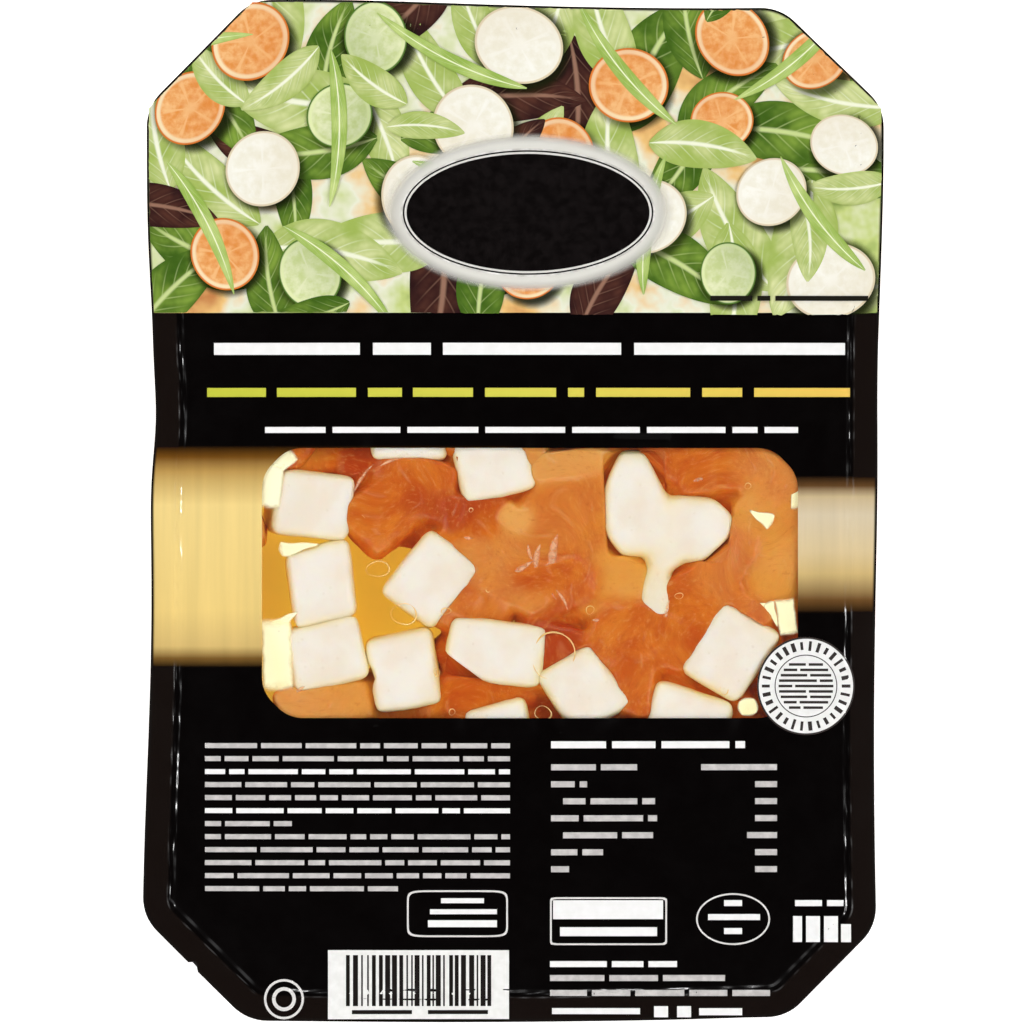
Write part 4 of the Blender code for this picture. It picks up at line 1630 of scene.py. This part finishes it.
def make_seal():
    """Round white seal with rings and ticks, over the window's corner."""
    px, py = 806, 686
    radius = 49 * PIXEL
    base = [px_shape("disc", px, py, radius, radius)]
    patches("seal_disc", base, ink("seal ink", rgb(240, 239, 236), rgb(248, 247, 245)), cell=0.35 * MM)
    marks = [px_shape("ring", px, py, radius * 1.0, 0.035, level=INK_THICK)]
    marks.append(px_shape("ring", px, py, radius * 0.64, 0.03, level=INK_THICK))
    middle = at(px, py)
    rng = random.Random(9)
    for number in range(30):
        angle = 2 * math.pi * number / 30
        x = middle[0] + radius * 0.82 * math.cos(angle)
        y = middle[1] + radius * 0.82 * math.sin(angle)
        half = (radius * rng.uniform(0.07, 0.11), radius * rng.uniform(0.026, 0.042))
        marks.append(("bar", x, y, angle, *half, INK_THICK))
    for number in range(9):
        height = 0.44 - 0.11 * number
        reach = radius * math.sqrt(0.56 ** 2 - height ** 2)
        gap = rng.uniform(-0.5, 0.5) * reach
        for x0, x1 in ((-reach, gap - 0.03 * radius), (gap + 0.03 * radius, reach)):
            x = middle[0] + (x0 + x1) / 2
            y = middle[1] + radius * height
            marks.append(("bar", x, y, 0.0, (x1 - x0) / 2, radius * 0.026, INK_THICK))
    patches("seal_marks", marks, ink("seal dark ink", rgb(58, 52, 50)), cell=0.35 * MM)


def make_badge():
    """Bare dark oval with a pale rim on the art field."""
    px, py = 528, 213
    half = (127 * PIXEL, 64 * PIXEL)
    layers = (
        ("badge_glow", 1.16, 1.26, soft_ink("badge glow", rgb(228, 226, 218), 0.84, 0.95)),
        ("badge_rim", 1.0, 1.0, ink("badge rim", rgb(196, 193, 186), rgb(240, 238, 233))),
        ("badge_line", 0.985, 0.972, ink("badge line", rgb(24, 22, 22))),
        ("badge_inner_rim", 0.972, 0.948, ink("badge inner rim", rgb(222, 220, 214))),
        ("badge_field", 0.955, 0.915, ink("badge field", rgb(8, 5, 5), rgb(20, 16, 16))),
    )
    for number, (name, grow_x, grow_y, material) in enumerate(layers):
        level = (0.32 + 0.02 * number) * MM
        shape = px_shape("disc", px, py, half[0] * grow_x, half[1] * grow_y, level=level)
        patches(name, [shape], material, cell=0.7 * MM)


# Art field: a loose pile of leaves and round slices

def leaf_ink(name, dark, light, rib):
    """A printed leaf: pale rib, side veins and darker edges, on its own map."""
    paint = Paint(name)
    uv = paint.node("ShaderNodeUVMap", {"uv_map": "UVMap"})
    u, v, w = paint.split(uv)
    side = abs(v - 0.5) * 2
    mm = paint.places(1000)
    veins = paint.node("ShaderNodeMath", {"operation": "PINGPONG"}, {0: u * 8 - side * 2.2 + 4, 1: 0.5})
    mottled = paint.noise(mm, 0.18, 3)
    colour = paint.mix(paint.between(mottled, 0.3, 0.7), dark, light)
    colour = paint.mix(paint.between(u, 0.9, 0.0) * 0.35, colour, dark)
    folds = paint.between(veins, 0.5, 0.1) * paint.between(side, 0.0, 0.3)
    colour = paint.mix(folds * 0.3, colour, dark)
    colour = paint.mix(paint.between(veins, 0.1, 0.02) * paint.between(side, 0.95, 0.2) * 0.35, colour, rib)
    colour = paint.mix(paint.between(side, 0.13, 0.03) * paint.between(u, 1.0, 0.7), colour, rib)
    colour = paint.mix(paint.between(side, 0.75, 1.0) * 0.5, colour, dark)
    return paint.finish(gloss_print(paint, colour))


def gloss_print(paint, colour):
    return paint.surface(
        Base_Color=colour, Roughness=0.22, Specular_IOR_Level=0.12,
        Coat_Weight=0.4, Coat_Roughness=0.08,
    )


def round_map(paint):
    """Place on a disc's own map, and how far from its middle, 1 at the edge."""
    uv = paint.node("ShaderNodeUVMap", {"uv_map": "UVMap"})
    u, v, w = paint.split(uv)
    x = (u - 0.5) * 2
    y = (v - 0.5) * 2
    return x, y, (x * x + y * y - x * x * y * y) ** 0.5


def slice_ink(name, rim, flesh, heart, spokes, pith):
    """A printed round slice: rim, pith, mottled flesh and faint spokes."""
    paint = Paint(name)
    x, y, reach = round_map(paint)
    angle = paint.node("ShaderNodeMath", {"operation": "ARCTAN2"}, {0: y, 1: x})
    fan = paint.node("ShaderNodeMath", {"operation": "PINGPONG"}, {0: angle + 4, 1: math.pi / spokes})
    seam = paint.between(fan, 0.11, 0.03) * paint.between(reach, 0.84, 0.7) * paint.between(reach, 0.05, 0.2)
    mm = paint.places(1000)
    mottled = paint.noise(mm, 0.6, 4, 0.6)
    colour = paint.mix(paint.between(mottled, 0.3, 0.75), flesh, heart)
    colour = paint.mix(paint.between(reach, 0.3, 0.08) * 0.7, colour, heart)
    colour = paint.mix(seam * 0.75, colour, heart)
    colour = paint.mix(paint.between(reach, 0.8, 0.88), colour, pith)
    colour = paint.mix(paint.between(reach, 0.93, 0.97), colour, rim)
    lit = paint.between(x * 0.6 - y * 0.8, -0.9, 0.9)
    colour = paint.mix(lit * 0.3, colour, rim)
    return paint.finish(gloss_print(paint, colour))


def soft_ink(name, tint, inner, strength):
    """Ink on a round patch that fades out from inner to the edge."""
    paint = Paint(name)
    x, y, reach = round_map(paint)
    through = paint.node("ShaderNodeBsdfTransparent", None, {"Color": (1, 1, 1, 1)})
    body = gloss_print(paint, tint)
    share = paint.between(reach, 1.0, inner) * strength
    return paint.finish(paint.node("ShaderNodeMixShader", None, {0: share, 1: through, 2: body}))


def spread(rng, low, high, gap, tries):
    """Random places in a box, at least a gap apart, in millimetres."""
    places = []
    for _ in range(tries):
        place = np.array([rng.uniform(low[0], high[0]), rng.uniform(low[1], high[1])])
        if all(np.linalg.norm(place - other) > gap for other in places):
            places.append(place)
    return places


def make_art():
    """Generic kitchen-garden print over the art field."""
    rng = random.Random(52)
    kinds = ("light", "green", "dark", "blade", "cucumber", "orange", "cream", "shade")
    piles = {kind: [] for kind in kinds}
    laid = []

    def lay(kind, form, place, turn, half_x, half_y, gap=1):
        reach = max(half_x, half_y)
        under = [level for spot, size, level in laid if np.linalg.norm(spot - place) < (size + reach) * 0.85]
        level = max(under, default=0) + gap
        laid.append((place, reach, level))
        shape = (form, *(place * MM), turn, half_x * MM, half_y * MM, level * LAYER)
        piles[kind].append(shape)

    def leaf(place, length):
        dusk = place[0] < -30 and place[1] < 66
        shares = (0.5, 0.6, 0.25) if dusk else (0.1, 0.3, 0.6)
        kind = rng.choices(("dark", "green", "light"), shares)[0]
        width = length * rng.uniform(0.34, 0.46)
        lay(kind, "leaf", place, rng.uniform(0, 2 * math.pi), length, width)

    for place in spread(rng, (-60, 36), (60, 84), 9.0, 600):
        leaf(place, rng.uniform(9, 13))
    for number, place in enumerate(spread(rng, (-57, 38), (57, 80), 14.0, 700)):
        kind = ("cream", "orange", "cucumber", "cream", "orange")[number % 5]
        if place[0] < -30 and place[1] > 70:
            kind = "orange"
        half = rng.uniform(5.2, 7.6)
        shade = place + np.array([0.5, -0.7])
        lay("shade", "disc", shade, 0.0, half * 1.18, half * 1.14, 1)
        lay(kind, "disc", place, rng.uniform(0, 6.0), half, half * rng.uniform(0.84, 0.97), 1)
        if number % 2:
            side = rng.uniform(0, 2 * math.pi)
            off = half * 1.15 * np.array([math.cos(side), math.sin(side)])
            leaf(place + off, rng.uniform(6.5, 9))
    for place in spread(rng, (-56, 38), (56, 80), 24.0, 200):
        lay("blade", "leaf", place, rng.uniform(0, 2 * math.pi), rng.uniform(11, 15), 1.3)
    cuts = [((0, ART_EDGE), (0, -1))]
    angles, distances = PACK_LINES
    for angle, distance in zip(angles[:5], distances[:5]):
        normal = np.array([math.cos(angle), math.sin(angle)])
        cuts.append((tuple(normal * (distance - 0.4 * MM)), tuple(normal)))
    finishes = {
        "light": leaf_ink("light leaf", rgb(160, 182, 88), rgb(222, 226, 168), rgb(242, 244, 220)),
        "green": leaf_ink("green leaf", rgb(62, 96, 26), rgb(134, 164, 64), rgb(200, 214, 144)),
        "dark": leaf_ink("dark leaf", rgb(40, 20, 22), rgb(92, 54, 42), rgb(150, 112, 92)),
        "blade": leaf_ink("leaf blade", rgb(150, 180, 80), rgb(206, 222, 140), rgb(240, 244, 210)),
        "cucumber": slice_ink(
            "green slice", rgb(84, 122, 44), rgb(206, 218, 150), rgb(232, 236, 196), 3, rgb(226, 234, 178)
        ),
        "orange": slice_ink(
            "orange slice", rgb(218, 120, 44), rgb(232, 148, 72), rgb(246, 196, 136), 5, rgb(246, 222, 180)
        ),
        "cream": slice_ink(
            "cream slice", rgb(222, 206, 172), rgb(240, 236, 218), rgb(250, 248, 238), 4, rgb(244, 240, 226)
        ),
        "shade": soft_ink("printed shade", rgb(30, 36, 14), 0.72, 0.6),
    }
    for kind, shapes in piles.items():
        cell = 0.45 * MM if kind in ("cucumber", "orange", "cream", "shade") else 0.6 * MM
        patches(f"art_{kind}", shapes, finishes[kind], cell=cell, cuts=cuts, settled=True)
    spots = [px_bar(x0, 296, x1, 301, 15 * LAYER) for x0, x1 in ((710, 752), (757, 770), (775, 868))]
    patches("art_note", spots, ink("dark ink", rgb(30, 28, 22)), cell=0.8 * MM)


LAYER = 0.02 * MM


# Studio

def make_floor():
    deselect()
    bpy.ops.mesh.primitive_plane_add(size=6, location=(0, 0, -0.05 * MM))
    floor = named("floor")
    apply_place(floor)
    paint = Paint("white table")
    mm = paint.places(1000)
    shade = paint.mix(paint.noise(mm, 0.02, 2), rgb(249, 249, 249), rgb(252, 252, 252))
    skin = paint.surface(
        Base_Color=shade, Roughness=0.7, Emission_Color=(1, 1, 1, 1), Emission_Strength=0.55
    )
    through = paint.node("ShaderNodeBsdfTransparent", None, {"Color": (1, 1, 1, 1)})
    below = paint.node("ShaderNodeNewGeometry", out="Backfacing")
    both = paint.node("ShaderNodeMixShader", None, {0: below, 1: skin, 2: through})
    floor.data.materials.append(paint.finish(both))


def soft_box(name, azimuth, elevation, distance, width, height, power, shine=False):
    """An area light that looks at the pack from this direction."""
    lamp = bpy.data.lights.new(name, "AREA")
    lamp.shape = "RECTANGLE"
    lamp.size = width
    lamp.size_y = height
    lamp.energy = power
    obj = bpy.data.objects.new(name, lamp)
    bpy.context.scene.collection.objects.link(obj)
    a, e = math.radians(azimuth), math.radians(elevation)
    back = Vector((math.sin(a) * math.cos(e), -math.cos(a) * math.cos(e), math.sin(e)))
    obj.location = back * distance
    obj.rotation_euler = (-back).to_track_quat("-Z", "Y").to_euler()
    obj.visible_diffuse = not shine


def make_studio():
    world = bpy.data.worlds.new("studio dome")
    bpy.context.scene.world = world
    world.use_nodes = True
    nodes, links = world.node_tree.nodes, world.node_tree.links
    place = nodes.new("ShaderNodeTexCoord")
    split = nodes.new("ShaderNodeSeparateXYZ")
    ramp = nodes.new("ShaderNodeValToRGB")
    links.new(place.outputs["Generated"], split.inputs[0])
    links.new(split.outputs["Z"], ramp.inputs[0])
    links.new(ramp.outputs[0], nodes["Background"].inputs[0])
    grey = [(0.0, 1.0), (0.1, 1.0), (0.17, 0.35), (0.37, 0.35)]
    grey += [(0.48, 1.45), (0.74, 1.35), (0.9, 0.1), (1.0, 0.02)]
    fill_ramp(ramp.color_ramp, [(position, (g, g, g, 1)) for position, g in grey])
    nodes["Background"].inputs[1].default_value = 1.0
    soft_box("box left", 270, 40, 0.9, 0.4, 0.035, 1.0)
    soft_box("box right", 90, 40, 0.9, 0.4, 0.035, 1.0)
    soft_box("box far", 180, 42, 0.9, 0.4, 0.035, 0.8)
    soft_box("box near", 0, 42, 0.9, 0.4, 0.035, 0.8)
    for name, azimuth in (("left", 270), ("right", 90), ("far", 180), ("near", 0)):
        soft_box(f"shine {name}", azimuth, 40, 0.95, 0.7, 0.12, 7.0, shine=True)
    bpy.context.scene.view_settings.view_transform = "Standard"
    bpy.context.scene.cycles.transparent_max_bounces = 32


def make_camera():
    """Looks straight down on the lid, framed as the photo is."""
    lens = 120
    camera = bpy.data.cameras.new("camera")
    camera.lens = lens
    camera.sensor_width = 36
    obj = bpy.data.objects.new("camera", camera)
    bpy.context.scene.collection.objects.link(obj)
    middle = at(512, 512)
    distance = lens / 36 * 1024 * PIXEL
    obj.location = (*middle, FLANGE_TOP + PRINT_LIFT + distance)
    bpy.context.scene.camera = obj


make_camera()
make_studio()
make_floor()
make_tray()
make_oil()
make_film()
make_print()
make_cheese()
make_salmon()
make_bubble_highlights()
make_pale_streaks()
make_painted_light_patches()
make_art()
make_badge()
make_lines()
make_bar_block()
make_seal()

deselect()
